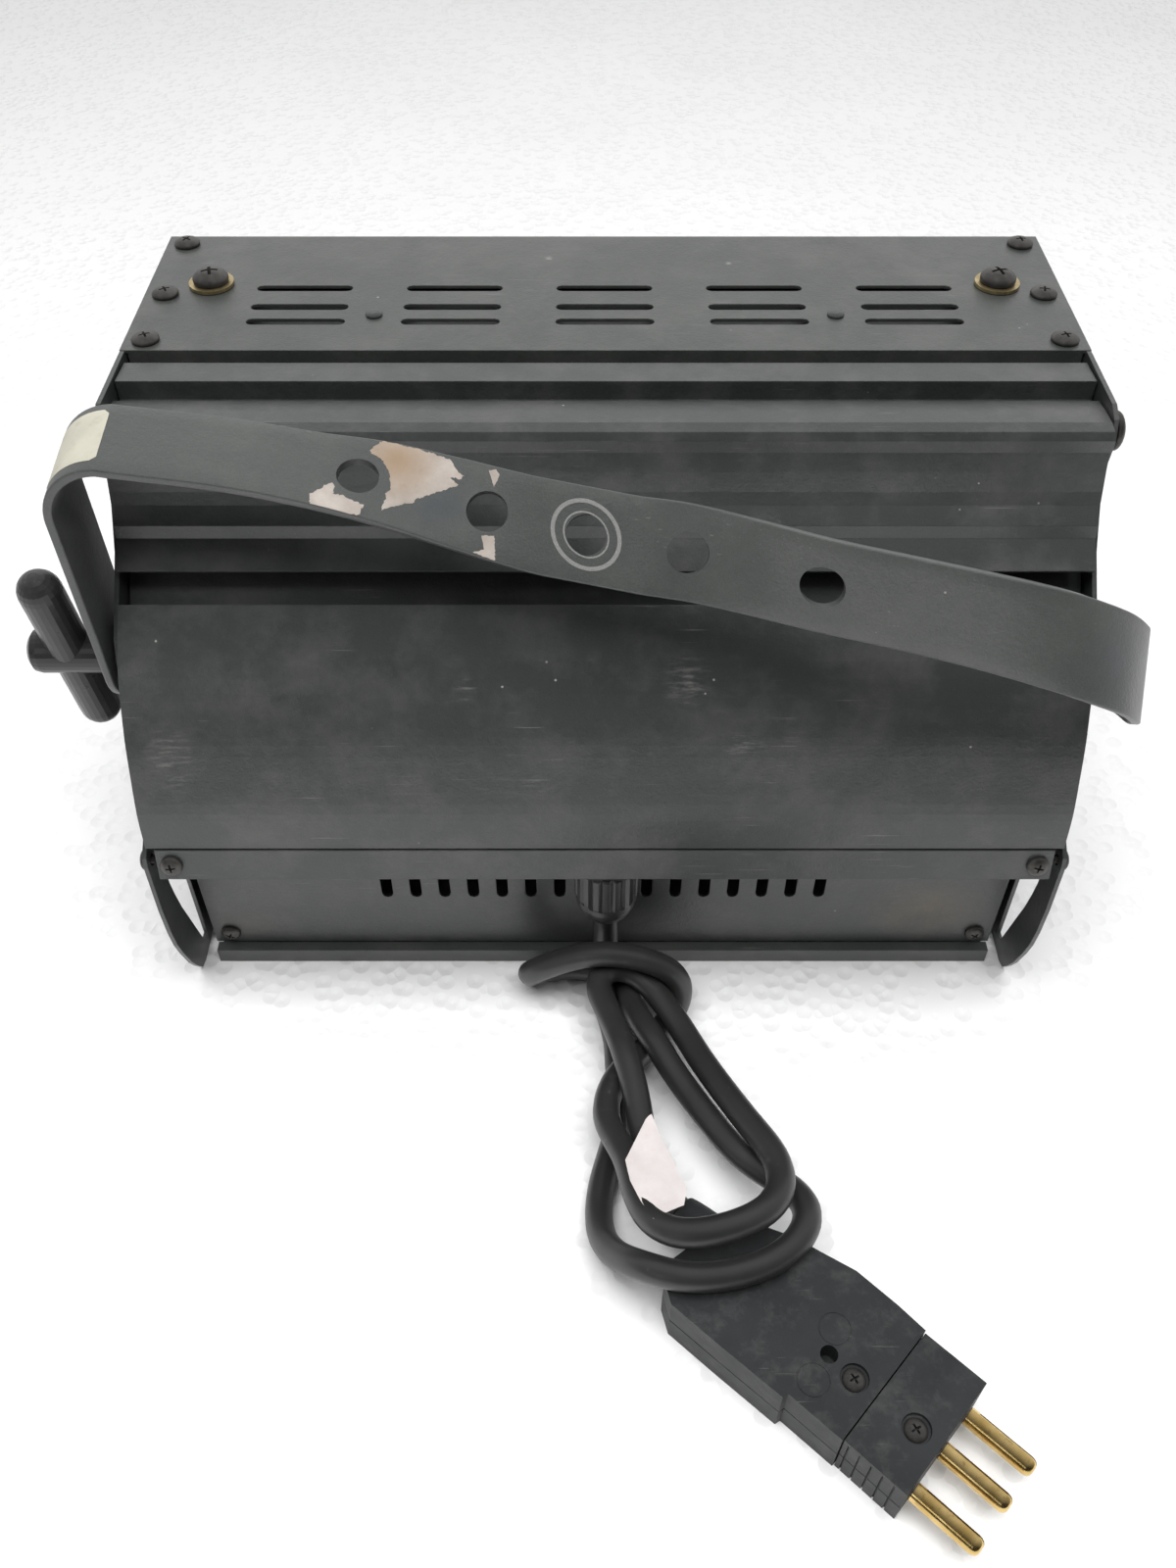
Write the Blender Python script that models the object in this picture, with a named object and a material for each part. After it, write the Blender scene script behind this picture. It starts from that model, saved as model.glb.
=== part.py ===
"""Cyclorama light: a wide, asymmetric flood for lighting a backdrop.

Two curved aluminium extrusions form the rear shell between two sheet-steel end
plates, with a slotted vent cover on top, a wiring cover and a slotted panel at
the back, and a reflector, a double-ended lamp and a hinged wire guard inside the
front. A flat-bar yoke tilts on two side pivots and is held by a clamp handle.
The supply lead leaves a gland at the back and ends in a three-pin stage plug.

Lengths below are millimetres in the light's own axes: x to the right seen from
behind, s from the back to the front, h up from the surface it stands on.
"""

import math

import bmesh
import bpy
import numpy as np
from mathutils import Matrix, Vector, geometry

for old in list(bpy.data.objects):
    bpy.data.objects.remove(old, do_unlink=True)

# ---------------------------------------------------------------- dimensions
MM = 0.001
ORIGIN_X, ORIGIN_S = -11.95, 78.551  # middle of the light's box, without its lead
GAP = 0.3  # clearance between touching pieces

BODY_HALF = 165.0  # extrusions
PLATE_IN, PLATE_OUT = 165.6, 167.2  # end plates, inner and outer face
COVER_HALF = 167.5
COVER_TOP = 225.0
COVER_REAR, COVER_FRONT = 98.0, 184.0
COVER_T = 1.2
WALL = 2.2  # extrusion wall

PIVOT_S, PIVOT_H = 30.0, 148.0
ARM_IN, ARM_OUT = 169.5, 172.5
BAR_W, BAR_T = 30.5, 3.0
YOKE_HOLE_R = 6.5
YOKE_HOLES_X = (-77.3, -37.5, -6.6, 25.0, 64.7)

LEAD_R = 5.0
PLUG_H = 25.0
PLUG_HEADING = math.radians(-43.0)
PLUG_SEAM = (87.5, -177.6)
PIN_R = 3.175


# ---------------------------------------------------------------- materials
def material(name, colour, rough, metal=0.0):
    mat = bpy.data.materials.new(name)
    mat.use_nodes = True
    bsdf = mat.node_tree.nodes["Principled BSDF"]
    bsdf.inputs["Base Color"].default_value = (*colour, 1.0)
    bsdf.inputs["Roughness"].default_value = rough
    bsdf.inputs["Metallic"].default_value = metal
    mat.diffuse_color = (*colour, 1.0)
    return mat


BLACK = material("charcoal_powder_coat", (0.040, 0.043, 0.041), 0.45)
DARK = material("black_oxide_steel", (0.030, 0.030, 0.030), 0.40, 0.7)
ZINC = material("yellow_zinc", (0.42, 0.36, 0.20), 0.40, 0.9)
SPEC = material("bright_aluminium", (0.80, 0.80, 0.80), 0.25, 1.0)
STEEL = material("plain_steel", (0.45, 0.45, 0.45), 0.40, 0.9)
CERAMIC = material("ceramic", (0.82, 0.80, 0.74), 0.50)
QUARTZ = material("quartz", (0.90, 0.92, 0.92), 0.08)
NYLON = material("black_nylon", (0.018, 0.018, 0.018), 0.45)
KNOB = material("handle_plastic", (0.016, 0.016, 0.016), 0.30)
RUBBER = material("lead_rubber", (0.020, 0.020, 0.020), 0.55)
PLUGM = material("plug_plastic", (0.018, 0.018, 0.017), 0.50)
BRASS = material("brass", (0.72, 0.52, 0.24), 0.30, 1.0)


# ---------------------------------------------------------------- helpers
def world(p):
    return Vector(((p[0] - ORIGIN_X) * MM, (p[1] - ORIGIN_S) * MM, p[2] * MM))


def empty(name, at):
    ob = bpy.data.objects.new(name, None)
    ob.empty_display_size = 0.02
    ob.location = world(at)
    bpy.context.scene.collection.objects.link(ob)
    return ob


def finish(name, bm, mat, parent=None, hidden=False, smooth=35):
    """Turns a bmesh in light coordinates into an object with its origin at its middle."""
    for v in bm.verts:
        v.co = world(v.co)
    bmesh.ops.recalc_face_normals(bm, faces=bm.faces)
    low = Vector([min(v.co[i] for v in bm.verts) for i in range(3)])
    high = Vector([max(v.co[i] for v in bm.verts) for i in range(3)])
    mid = parent.location.copy() if parent else (low + high) / 2
    for v in bm.verts:
        v.co -= mid
    me = bpy.data.meshes.new(name)
    bm.to_mesh(me)
    bm.free()
    if smooth:
        me.shade_smooth()
        me.set_sharp_from_angle(angle=math.radians(smooth))
    ob = bpy.data.objects.new(name, me)
    bpy.context.scene.collection.objects.link(ob)
    if parent:
        ob.parent = parent
    else:
        ob.location = mid
    if mat:
        me.materials.append(mat)
    if hidden:
        ob.hide_render = True
        ob.display_type = "WIRE"
    return ob


def boolean(ob, tool, kind):
    mod = ob.modifiers.new(kind.lower() + "_" + tool.name, "BOOLEAN")
    mod.operation = kind
    mod.solver = "EXACT"
    mod.object = tool
    return ob


def inside(u, v, loops):
    """Whether a point is on material: in the outline and in none of the holes."""
    hit = False
    for loop in loops:
        for (u0, v0), (u1, v1) in zip(loop, loop[1:] + loop[:1]):
            if (v0 > v) != (v1 > v) and u < u0 + (u1 - u0) * (v - v0) / (v1 - v0):
                hit = not hit
    return hit


def fill(loops):
    """Triangles between an outline and its holes."""
    flat = [Vector(p) for loop in loops for p in loop]
    edges = []
    k = 0
    for loop in loops:
        edges += [(k + i, k + (i + 1) % len(loop)) for i in range(len(loop))]
        k += len(loop)
    verts, _, faces, source, _, _ = geometry.delaunay_2d_cdt(flat, edges, [], 0, 1e-7)
    tris = []
    for f in faces:
        u = sum(verts[i].x for i in f) / 3
        v = sum(verts[i].y for i in f) / 3
        if inside(u, v, loops):
            tris.append([source[i][0] for i in f])
    return tris


def prism_bm(loops, place, d0, d1):
    """A flat shape with holes, swept from d0 to d1. loops[0] is the outline."""
    bm = bmesh.new()
    flat = [p for loop in loops for p in loop]
    near = [bm.verts.new(place(u, v, d0)) for u, v in flat]
    far = [bm.verts.new(place(u, v, d1)) for u, v in flat]
    if len(loops) == 1:
        bm.faces.new(near)
        bm.faces.new(list(reversed(far)))
    else:
        for t in fill(loops):
            bm.faces.new([near[i] for i in t])
            bm.faces.new([far[i] for i in reversed(t)])
    k = 0
    for loop in loops:
        n = len(loop)
        for i in range(n):
            j = (i + 1) % n
            bm.faces.new((near[k + i], near[k + j], far[k + j], far[k + i]))
        k += n
    return bm


def along_x(u, v, d):
    return (d, u, v)


def along_s(u, v, d):
    return (u, d, v)


def along_h(u, v, d):
    return (u, v, d)


def lathe_bm(profile, origin, axis, steps=24, ring=False):
    """Turns (radius, distance) pairs about an axis. ring closes the profile on itself."""
    bm = bmesh.new()
    ax = Vector(axis).normalized()
    u = ax.orthogonal().normalized()
    w = ax.cross(u)
    o = Vector(origin)
    rows = []
    for r, t in profile:
        if r < 1e-6:
            rows.append([bm.verts.new(o + ax * t)])
        else:
            rows.append([bm.verts.new(o + ax * t + (u * math.cos(a) + w * math.sin(a)) * r)
                         for a in (2 * math.pi * k / steps for k in range(steps))])
    pairs = list(zip(rows, rows[1:]))
    if ring:
        pairs.append((rows[-1], rows[0]))
    for a, b in pairs:
        for i in range(steps):
            j = (i + 1) % steps
            if len(a) == 1:
                bm.faces.new((a[0], b[i], b[j]))
            elif len(b) == 1:
                bm.faces.new((a[i], a[j], b[0]))
            else:
                bm.faces.new((a[i], a[j], b[j], b[i]))
    if not ring:
        for row in (rows[0], rows[-1]):
            if len(row) > 1:
                bm.faces.new(row)
    return bm


def circle(cu, cv, r, n=16, start=0.0):
    return [(cu + r * math.cos(start + 2 * math.pi * k / n), cv + r * math.sin(start + 2 * math.pi * k / n)) for k in range(n)]


def stadium(cu, cv, length, width, vertical=False, n=4):
    """A slot with round ends, length overall."""
    r = width / 2
    run = length / 2 - r
    pts = []
    for side, a0 in ((1, -math.pi / 2), (-1, math.pi / 2)):
        for k in range(n + 1):
            a = a0 + math.pi * k / n
            pts.append((side * run + r * math.cos(a), r * math.sin(a)))
    if vertical:
        pts = [(-y, x) for x, y in pts]
    return [(cu + x, cv + y) for x, y in pts]


def offset_left(points, d):
    """The polyline moved d to its left, with mitred corners."""
    out = []
    n = len(points)
    for i, p in enumerate(points):
        dirs = []
        if i > 0:
            a = points[i - 1]
            dirs.append(Vector((p[0] - a[0], p[1] - a[1])).normalized())
        if i < n - 1:
            b = points[i + 1]
            dirs.append(Vector((b[0] - p[0], b[1] - p[1])).normalized())
        normals = [Vector((-e.y, e.x)) for e in dirs]
        m = sum(normals, Vector((0.0, 0.0))).normalized()
        out.append((p[0] + m.x * d / m.dot(normals[0]), p[1] + m.y * d / m.dot(normals[0])))
    return out


def smooth_line(points, per=4):
    """A centripetal curve through 2-D or 3-D points."""
    p = [Vector(q) for q in points]
    p = [p[0] * 2 - p[1]] + p + [p[-1] * 2 - p[-2]]
    out = []
    for i in range(1, len(p) - 2):
        p0, p1, p2, p3 = p[i - 1:i + 3]
        t0 = 0.0
        t1 = t0 + math.sqrt((p1 - p0).length)
        t2 = t1 + math.sqrt((p2 - p1).length)
        t3 = t2 + math.sqrt((p3 - p2).length)
        for k in range(per):
            t = t1 + (t2 - t1) * k / per
            a1 = p0 * ((t1 - t) / (t1 - t0)) + p1 * ((t - t0) / (t1 - t0))
            a2 = p1 * ((t2 - t) / (t2 - t1)) + p2 * ((t - t1) / (t2 - t1))
            a3 = p2 * ((t3 - t) / (t3 - t2)) + p3 * ((t - t2) / (t3 - t2))
            b1 = a1 * ((t2 - t) / (t2 - t0)) + a2 * ((t - t0) / (t2 - t0))
            b2 = a2 * ((t3 - t) / (t3 - t1)) + a3 * ((t - t1) / (t3 - t1))
            out.append(b1 * ((t2 - t) / (t2 - t1)) + b2 * ((t - t1) / (t2 - t1)))
    out.append(p[-2])
    return [tuple(v) for v in out]


def sheet_x(name, line, t, x0, x1, mat):
    """A folded sheet or a constant-wall profile: the polyline thickened to its left."""
    loop = list(line) + list(reversed(offset_left(line, t)))
    return finish(name, prism_bm([loop], along_x, x0, x1), mat)


# ---------------------------------------------------------------- fasteners
def screw_mesh(name, head_r, head_t, shank_r, shank_l, mat, steps=16):
    """Pan head up along +Z, its underside at 0."""
    bm = lathe_bm([(0, head_t), (head_r * 0.55, head_t * 0.93), (head_r * 0.86, head_t * 0.62), (head_r, head_t * 0.2),
                   (head_r, 0), (shank_r, 0), (shank_r, -shank_l), (0, -shank_l)], (0, 0, 0), (0, 0, 1), steps)
    for v in bm.verts:
        v.co *= MM
    bmesh.ops.recalc_face_normals(bm, faces=bm.faces)
    me = bpy.data.meshes.new(name)
    bm.to_mesh(me)
    bm.free()
    me.shade_smooth()
    me.set_sharp_from_angle(angle=math.radians(40))
    me.materials.append(mat)
    return me


def fastener(name, mesh, at, out):
    """Places a screw with its underside at a point and its head along out."""
    ob = bpy.data.objects.new(name, mesh)
    ob.location = world(at)
    ob.rotation_euler = Vector((0, 0, 1)).rotation_difference(Vector(out)).to_euler()
    bpy.context.scene.collection.objects.link(ob)
    return ob


# ---------------------------------------------------------------- end plates
PLATE_LOOP = [
    (184, 223.5), (98, 223.5), (97.4, 225), (64, 225), (58.5, 222.5), (55.5, 216), (56.5, 207), (52, 194), (43, 181),
    (33, 172), (20, 161), (15, 150), (12.5, 136), (6, 118), (-1, 104), (-9, 92), (-15.4, 88), (-16.6, 84), (-17.1, 72), (-17.6, 60.6), (-17.1, 46), (-15.8, 36),
    (-13.3, 27), (-9, 15), (-5.5, 8), (-1.8, 2), (3, 0), (176, 0), (184, 8),
]
PLATE_SLOT = [(-4, 75), (-4.6, 68), (-4.4, 60), (-3.4, 52), (-1.5, 42), (1.5, 31), (5, 18), (7.5, 9), (10, 6), (13, 6), (13.6, 75), (5, 77.5)]
COVER_SCREW_S = (177.0, 137.3, 104.6)
COVER_SCREW_X = 159.8
DOME = (62.0, 216.2)
SIDE_SCREW = (-11.0, 82.5)

for side, sx in (("left", -1), ("right", 1)):
    loops = [PLATE_LOOP, PLATE_SLOT, circle(PIVOT_S, PIVOT_H, 4.5), circle(*DOME, 3.4, 12), circle(*SIDE_SCREW, 2.4, 12)]
    plate = finish("end_plate_" + side, prism_bm(loops, along_x, sx * PLATE_IN, sx * PLATE_OUT), BLACK)
    holes = [circle(sx * COVER_SCREW_X, s, 2.4, 12) for s in COVER_SCREW_S]
    edge = [(sx * 151.5, 100), (sx * 166.4, 100), (sx * 166.4, 180.0), (sx * 151.5, 180.0)]
    flange = finish("flange_" + side, prism_bm([edge] + holes, along_h, 221.9, 223.5), BLACK, hidden=True)
    boolean(plate, flange, "UNION")

# ---------------------------------------------------------------- extrusions
UPPER = [(92.6, 223.4), (79.6, 224.0), (79.6, 217.0), (73.5, 217.0), (73.5, 220.3), (66.0, 221.3), (58.0, 221.8),
         (53.6, 221.0), (51.9, 218.6), (52.4, 214.0), (50.8, 207.6), (49.4, 200.7), (48.0, 196.4), (43.0, 191.6),
         (42.3, 187.0), (34.0, 179.7)]
upper = sheet_x("rear_extrusion_upper", UPPER, WALL, -BODY_HALF, BODY_HALF, BLACK)
boss = finish("screw_port", lathe_bm([(5.2, -BODY_HALF + 0.01), (5.2, BODY_HALF - 0.01)], (0, *DOME), (1, 0, 0), 20), BLACK, hidden=True)
bore = finish("screw_port_bore", lathe_bm([(3.4, -BODY_HALF - 3), (3.4, BODY_HALF + 3)], (0, *DOME), (1, 0, 0), 16), BLACK, hidden=True)
boolean(upper, boss, "UNION")
boolean(upper, bore, "DIFFERENCE")

LOWER_CURVE = smooth_line([(21.8, 166.6), (9.1, 153.4), (1.6, 140.8), (-2.4, 133.0), (-7.5, 120.0), (-11.8, 108.0), (-13.4, 100.0), (-14.5, 92.6)], 3)
LOWER = [(32.0, 166.5), (26.7, 171.2)] + LOWER_CURVE
sheet_x("rear_extrusion_lower", LOWER, WALL, -BODY_HALF, BODY_HALF, BLACK)
sheet_x("spine_channel", [(66.0, 190.5), (62.0, 188.0), (31.0, 157.0)], 2.0, -BODY_HALF, BODY_HALF, BLACK)

# ---------------------------------------------------------------- vent cover
SLOT_X = (-109.7, -54.8, 0.0, 54.8, 109.7)
SLOT_S = (142.3, 128.4, 117.8)
BIG_SCREW = (144.3, 144.8)
RIVET = (82.3, 122.5)
outline = [(-COVER_HALF, COVER_REAR), (COVER_HALF, COVER_REAR), (COVER_HALF, COVER_FRONT), (-COVER_HALF, COVER_FRONT)]
holes = [stadium(x, s, 35.3, 4.2) for x in SLOT_X for s in SLOT_S]
holes += [circle(sx * COVER_SCREW_X, s, 2.4, 12) for sx in (-1, 1) for s in COVER_SCREW_S]
holes += [circle(sx * BIG_SCREW[0], BIG_SCREW[1], 4.4, 16) for sx in (-1, 1)]
holes += [circle(sx * RIVET[0], RIVET[1], 1.9, 8) for sx in (-1, 1)]
cover = finish("vent_cover", prism_bm([outline] + holes, along_h, COVER_TOP - COVER_T, COVER_TOP), BLACK)
lip = [(COVER_REAR + 0.01, COVER_TOP - 0.4), (COVER_REAR + 0.01, COVER_TOP - 5.2), (COVER_REAR + 1.2, COVER_TOP - 5.2), (COVER_REAR + 1.2, COVER_TOP - 0.4)]
rear_lip = finish("cover_rear_lip", prism_bm([lip], along_x, -164.9, 164.9), BLACK, hidden=True)
lip = [(COVER_FRONT - 1.2, COVER_TOP - 0.4), (COVER_FRONT - 1.2, 208.5), (COVER_FRONT - 0.01, 208.5), (COVER_FRONT - 0.01, COVER_TOP - 0.4)]
front_lip = finish("cover_front_lip", prism_bm([lip], along_x, -164.9, 164.9), BLACK, hidden=True)
boolean(cover, rear_lip, "UNION")
boolean(cover, front_lip, "UNION")
sheet_x("vent_baffle", [(176.0, 219.5), (176.0, 216.5), (106.0, 216.5), (102.0, 219.5)], -1.0, -150, 150, BLACK)

# ---------------------------------------------------------------- wiring cover, vent panel and base
STRIP_TOP, STRIP_LOW, STRIP_END = (-14.9, 91.9), (-18.0, 79.5), (6.2, 79.5)
GLAND = (1.0, -5.4)
strip_n = Vector((STRIP_LOW[1] - STRIP_TOP[1], STRIP_TOP[0] - STRIP_LOW[0])).normalized()
strip_out = Vector((0.0, strip_n.x, strip_n.y))
strip_mid = ((STRIP_TOP[0] + STRIP_LOW[0]) / 2, (STRIP_TOP[1] + STRIP_LOW[1]) / 2)
strip = sheet_x("wiring_cover", [STRIP_TOP, STRIP_LOW, STRIP_END], 1.5, -162.0, 162.0, BLACK)
hole = finish("gland_hole", lathe_bm([(8.4, 70), (8.4, 90)], (*GLAND, 0), (0, 0, 1), 24), None, hidden=True)
boolean(strip, hole, "DIFFERENCE")
for side, sx in (("left", -1), ("right", 1)):
    at = Vector((sx * 156.6, *strip_mid))
    hole = finish("strip_hole_" + side, lathe_bm([(2.4, -5), (2.4, 5)], at, strip_out, 12), None, hidden=True)
    boolean(strip, hole, "DIFFERENCE")

PANEL_SCREW = (153.0, 14.5)
outline = [(-160, 8), (160, 8), (160, 76.5), (-160, 76.5)]
holes = [stadium((i - 7.5) * 11.44, 48.7, 22.6, 4.5, vertical=True) for i in range(16)]
holes += [circle(sx * PANEL_SCREW[0], PANEL_SCREW[1], 2.4, 12) for sx in (-1, 1)]
finish("lower_vent_panel", prism_bm([outline] + holes, along_s, 7.0, 8.2), BLACK)
sheet_x("base_pan", [(7.0, 7.5), (2.5, 7.5), (2.5, 0.0), (179.6, 0.0), (179.6, 16.0)], 1.5, -159.4, 159.4, BLACK)

# ---------------------------------------------------------------- front frame and colour runners
outline = [(-165, 3), (165, 3), (165, 208), (-165, 208)]
aperture = [(-148, 24), (148, 24), (148, 200), (-148, 200)]
finish("front_frame", prism_bm([outline, aperture], along_s, 180.3, 181.8), BLACK)
HINGE_S, HINGE_H = 186.6, 203.6
for side, sx in (("left", -1), ("right", 1)):
    # open towards the middle: back wall, two slots for colour frames, three lips
    section = [(153, 182.2), (162.5, 182.2), (162.5, 197.0), (153, 197.0), (153, 195.6), (161, 195.6), (161, 190.6), (153, 190.6), (153, 189.2), (161, 189.2), (161, 183.6), (153, 183.6)]
    runner = finish("colour_runner_" + side, prism_bm([[(sx * x, s) for x, s in section]], along_h, 14, 208), BLACK)
    eye = finish("runner_eye_" + side, lathe_bm([(1.9, 158.5), (1.9, 164)], (0, HINGE_S, HINGE_H), (sx, 0, 0), 12), None, hidden=True)
    boolean(runner, eye, "DIFFERENCE")
section = [(182.2, 5), (197.0, 5), (197.0, 13.7), (195.6, 13.7), (195.6, 6.4), (183.6, 6.4), (183.6, 13.7), (182.2, 13.7)]
finish("colour_runner_bottom", prism_bm([section], along_x, -162.5, 162.5), BLACK)

# ---------------------------------------------------------------- hinged guard
guard_axis = empty("guard_axis", (0, HINGE_S, HINGE_H))
ring = [[(-150, 19), (150, 19), (150, 202), (-150, 202)], [(-142, 27), (142, 27), (142, 197), (-142, 197)]]
guard = finish("guard_frame", prism_bm(ring, along_s, 183.4, 185.6), BLACK, parent=guard_axis)
barrel = finish("guard_barrel", lathe_bm([(3.4, -150), (3.4, 150)], (0, HINGE_S, HINGE_H), (1, 0, 0), 16), None, hidden=True)
barrel_bore = finish("guard_barrel_bore", lathe_bm([(1.9, -151), (1.9, 151)], (0, HINGE_S, HINGE_H), (1, 0, 0), 12), None, hidden=True)
boolean(guard, barrel, "UNION")
boolean(guard, barrel_bore, "DIFFERENCE")
grid = [[(-146, 23), (146, 23), (146, 199), (-146, 199)]]
NX, NH = 14, 8
for i in range(NX):
    for k in range(NH):
        x0, h0 = -146 + 292 * i / NX + 1.0, 23 + 176 * k / NH + 1.0
        x1, h1 = -146 + 292 * (i + 1) / NX - 1.0, 23 + 176 * (k + 1) / NH - 1.0
        grid.append([(x0, h0), (x1, h0), (x1, h1), (x0, h1)])
finish("guard_mesh", prism_bm(grid, along_s, 182.3, 183.1), BLACK, parent=guard_axis, smooth=0)
finish("guard_hinge_pin", lathe_bm([(0, -161.8), (1.2, -161.8), (1.5, -161.3), (1.5, 161.3), (1.2, 161.8), (0, 161.8)], (0, HINGE_S, HINGE_H), (1, 0, 0), 12), STEEL)

# ---------------------------------------------------------------- reflectors, lamp and wiring
REFLECTOR = smooth_line([(178, 205), (142, 210.5), (106, 206), (82, 194), (64, 175), (50, 151), (42, 124), (42, 96), (52, 70), (74, 49), (106, 36), (142, 30), (178, 27)], 2)
sheet_x("main_reflector", REFLECTOR, 0.8, -146, 146, SPEC)
KICK = smooth_line([(172, 40), (150, 42.5), (130, 48), (112, 56)], 3)
sheet_x("kick_reflector", list(reversed(KICK)), 0.8, -145.5, 145.5, SPEC)
inner = offset_left(REFLECTOR, -1.5)
for side, sx in (("left", -1), ("right", 1)):
    finish("reflector_end_" + side, prism_bm([[(s, h) for s, h in inner if s < 179] + []], along_x, sx * 147.0, sx * 147.8), SPEC)
LAMP_S, LAMP_H = 104.0, 118.0
for side, sx in (("left", -1), ("right", 1)):
    block = finish("lampholder_" + side, prism_bm([[(LAMP_S - 11, LAMP_H - 13), (LAMP_S + 11, LAMP_H - 13), (LAMP_S + 11, LAMP_H + 9), (LAMP_S - 11, LAMP_H + 9)],
                                                   ], along_x, sx * 60.6, sx * 84.0), CERAMIC)
    arm = finish("lampholder_arm_" + side, prism_bm([[(LAMP_S - 8, LAMP_H - 12), (LAMP_S + 8, LAMP_H - 12), (LAMP_S + 8, LAMP_H - 10), (LAMP_S - 8, LAMP_H - 10)]], along_x, sx * 82.0, sx * 146.4), STEEL, hidden=True)
    boolean(block, arm, "UNION")
finish("halogen_lamp", lathe_bm([(0, -59.3), (2.5, -59.3), (3.6, -58.2), (3.6, -48), (5.2, -46.5), (5.5, -44), (5.5, 44), (5.2, 46.5), (3.6, 48), (3.6, 58.2), (2.5, 59.3), (0, 59.3)], (0, LAMP_S, LAMP_H), (1, 0, 0), 20), QUARTZ)
block = [[(28, 12.5), (86, 12.5), (86, 32), (28, 32)]]
finish("terminal_block", prism_bm(block, along_h, 82.0, 100.0), CERAMIC)

# ---------------------------------------------------------------- screws, washers and rivets
truss = screw_mesh("truss_screw", 4.85, 2.3, 2.0, 4.0, DARK)
pan = screw_mesh("pan_screw", 4.0, 2.4, 2.0, 4.6, DARK)
big = screw_mesh("big_screw", 6.5, 4.2, 4.0, 6.5, DARK, 24)
dome = screw_mesh("dome_screw", 6.5, 3.6, 3.0, 6.5, DARK, 20)
rivet = screw_mesh("rivet", 3.1, 1.2, 1.6, 2.6, BLACK, 12)
for side, sx in (("left", -1), ("right", 1)):
    for k, s in enumerate(COVER_SCREW_S):
        fastener("cover_screw_%s_%d" % (side, k + 1), truss, (sx * COVER_SCREW_X, s, COVER_TOP + GAP), (0, 0, 1))
    finish("washer_" + side, lathe_bm([(4.4, 0), (8.2, 0), (8.2, 1.2), (4.4, 1.2)], (sx * BIG_SCREW[0], BIG_SCREW[1], COVER_TOP + GAP), (0, 0, 1), 24, ring=True), ZINC)
    fastener("lid_screw_" + side, big, (sx * BIG_SCREW[0], BIG_SCREW[1], COVER_TOP + 2 * GAP + 1.2), (0, 0, 1))
    fastener("rivet_" + side, rivet, (sx * RIVET[0], RIVET[1], COVER_TOP + GAP), (0, 0, 1))
    at = Vector((sx * 156.6, *strip_mid)) + strip_out * GAP
    fastener("wiring_cover_screw_" + side, pan, at, strip_out)
    fastener("panel_screw_" + side, pan, (sx * PANEL_SCREW[0], 7.0 - GAP, PANEL_SCREW[1]), (0, -1, 0))
    fastener("corner_screw_" + side, dome, (sx * (PLATE_OUT + GAP), *DOME), (sx, 0, 0))
    fastener("side_screw_" + side, pan, (sx * (PLATE_OUT + GAP), *SIDE_SCREW), (sx, 0, 0))

# ---------------------------------------------------------------- gland
gx, gs = GLAND
bm = lathe_bm([(0, 85.5), (7.4, 85.5), (8, 84.9), (8, 79.2), (0, 79.2)], (gx, gs, 0), (0, 0, 1), 24)
body = finish("gland_body", bm, NYLON)
hexagon = circle(gx, gs, 12.9, 6)
flange = finish("gland_flange", prism_bm([hexagon], along_h, 77.0, 79.2), None, hidden=True)
boolean(body, flange, "UNION")
neck = finish("gland_neck", lathe_bm([(7.5, 77.5), (7.5, 80.5)], (gx, gs, 0), (0, 0, 1), 24), None, hidden=True)
boolean(body, neck, "UNION")
finish("gland_locknut", prism_bm([circle(gx, gs, 10.9, 6), circle(gx, gs, 8.3, 20)], along_h, 81.3, 84.0), NYLON)
bm = bmesh.new()
rows = []
STEPS, FLUTES = 72, 18
for r, h, depth in ((11.4, 76.6, 0.5), (12.1, 75.6, 0.9), (12.1, 59.2, 0.9), (11.9, 58.2, 0.7), (11.8, 57.6, 0.0), (11.7, 55.0, 0.0), (10.9, 51.8, 0.0), (9.6, 48.8, 0.0), (8.0, 46.4, 0.0), (6.2, 45.0, 0.0)):
    row = []
    for k in range(STEPS):
        a = 2 * math.pi * k / STEPS
        rr = r - depth * max(0.0, math.cos(FLUTES * a)) ** 0.6
        row.append(bm.verts.new((gx + rr * math.cos(a), gs + rr * math.sin(a), h)))
    rows.append(row)
for a, b in zip(rows, rows[1:]):
    for i in range(STEPS):
        j = (i + 1) % STEPS
        bm.faces.new((a[i], a[j], b[j], b[i]))
bm.faces.new(rows[0])
bm.faces.new(rows[-1])
finish("gland_nut", bm, NYLON)

# ---------------------------------------------------------------- yoke
yoke_axis = empty("yoke_axis", (0, PIVOT_S, PIVOT_H))
# across the bar: x, s, h of the outer face's middle, and the slope of its width in degrees
CROSSBAR = [(-150, 29.2, 234.6, 8), (-115, 28.6, 229.9, 9), (-90, 27.3, 225.3, 12), (-70, 25.7, 221.3, 21), (-50, 23.1, 216.3, 31),
            (-34, 20.7, 212.3, 40), (-20, 18.2, 209.6, 46), (8, 13.1, 206.8, 46), (26, 9.2, 205.9, 59), (45, 2.4, 205.1, 68), (65, -7.9, 206.2, 75), (88, -16.9, 206.7, 77), (111, -26.2, 207.2, 75), (130, -32.0, 205.7, 67)]
# the wide bend at the right end, in the same terms
SWEEP = [(88, -16.9, 206.7, 77), (111, -26.2, 207.2, 75), (130, -32.0, 205.7, 67), (143, -32.3, 201.4, 59), (156, -27.9, 193.0, 55), (166, -19.8, 181.4, 58), (170.9, -8.7, 170.5, 60), (171.7, 2.3, 164.1, 60)]
BEND_L = 20.0
X_L = -173.8


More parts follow.
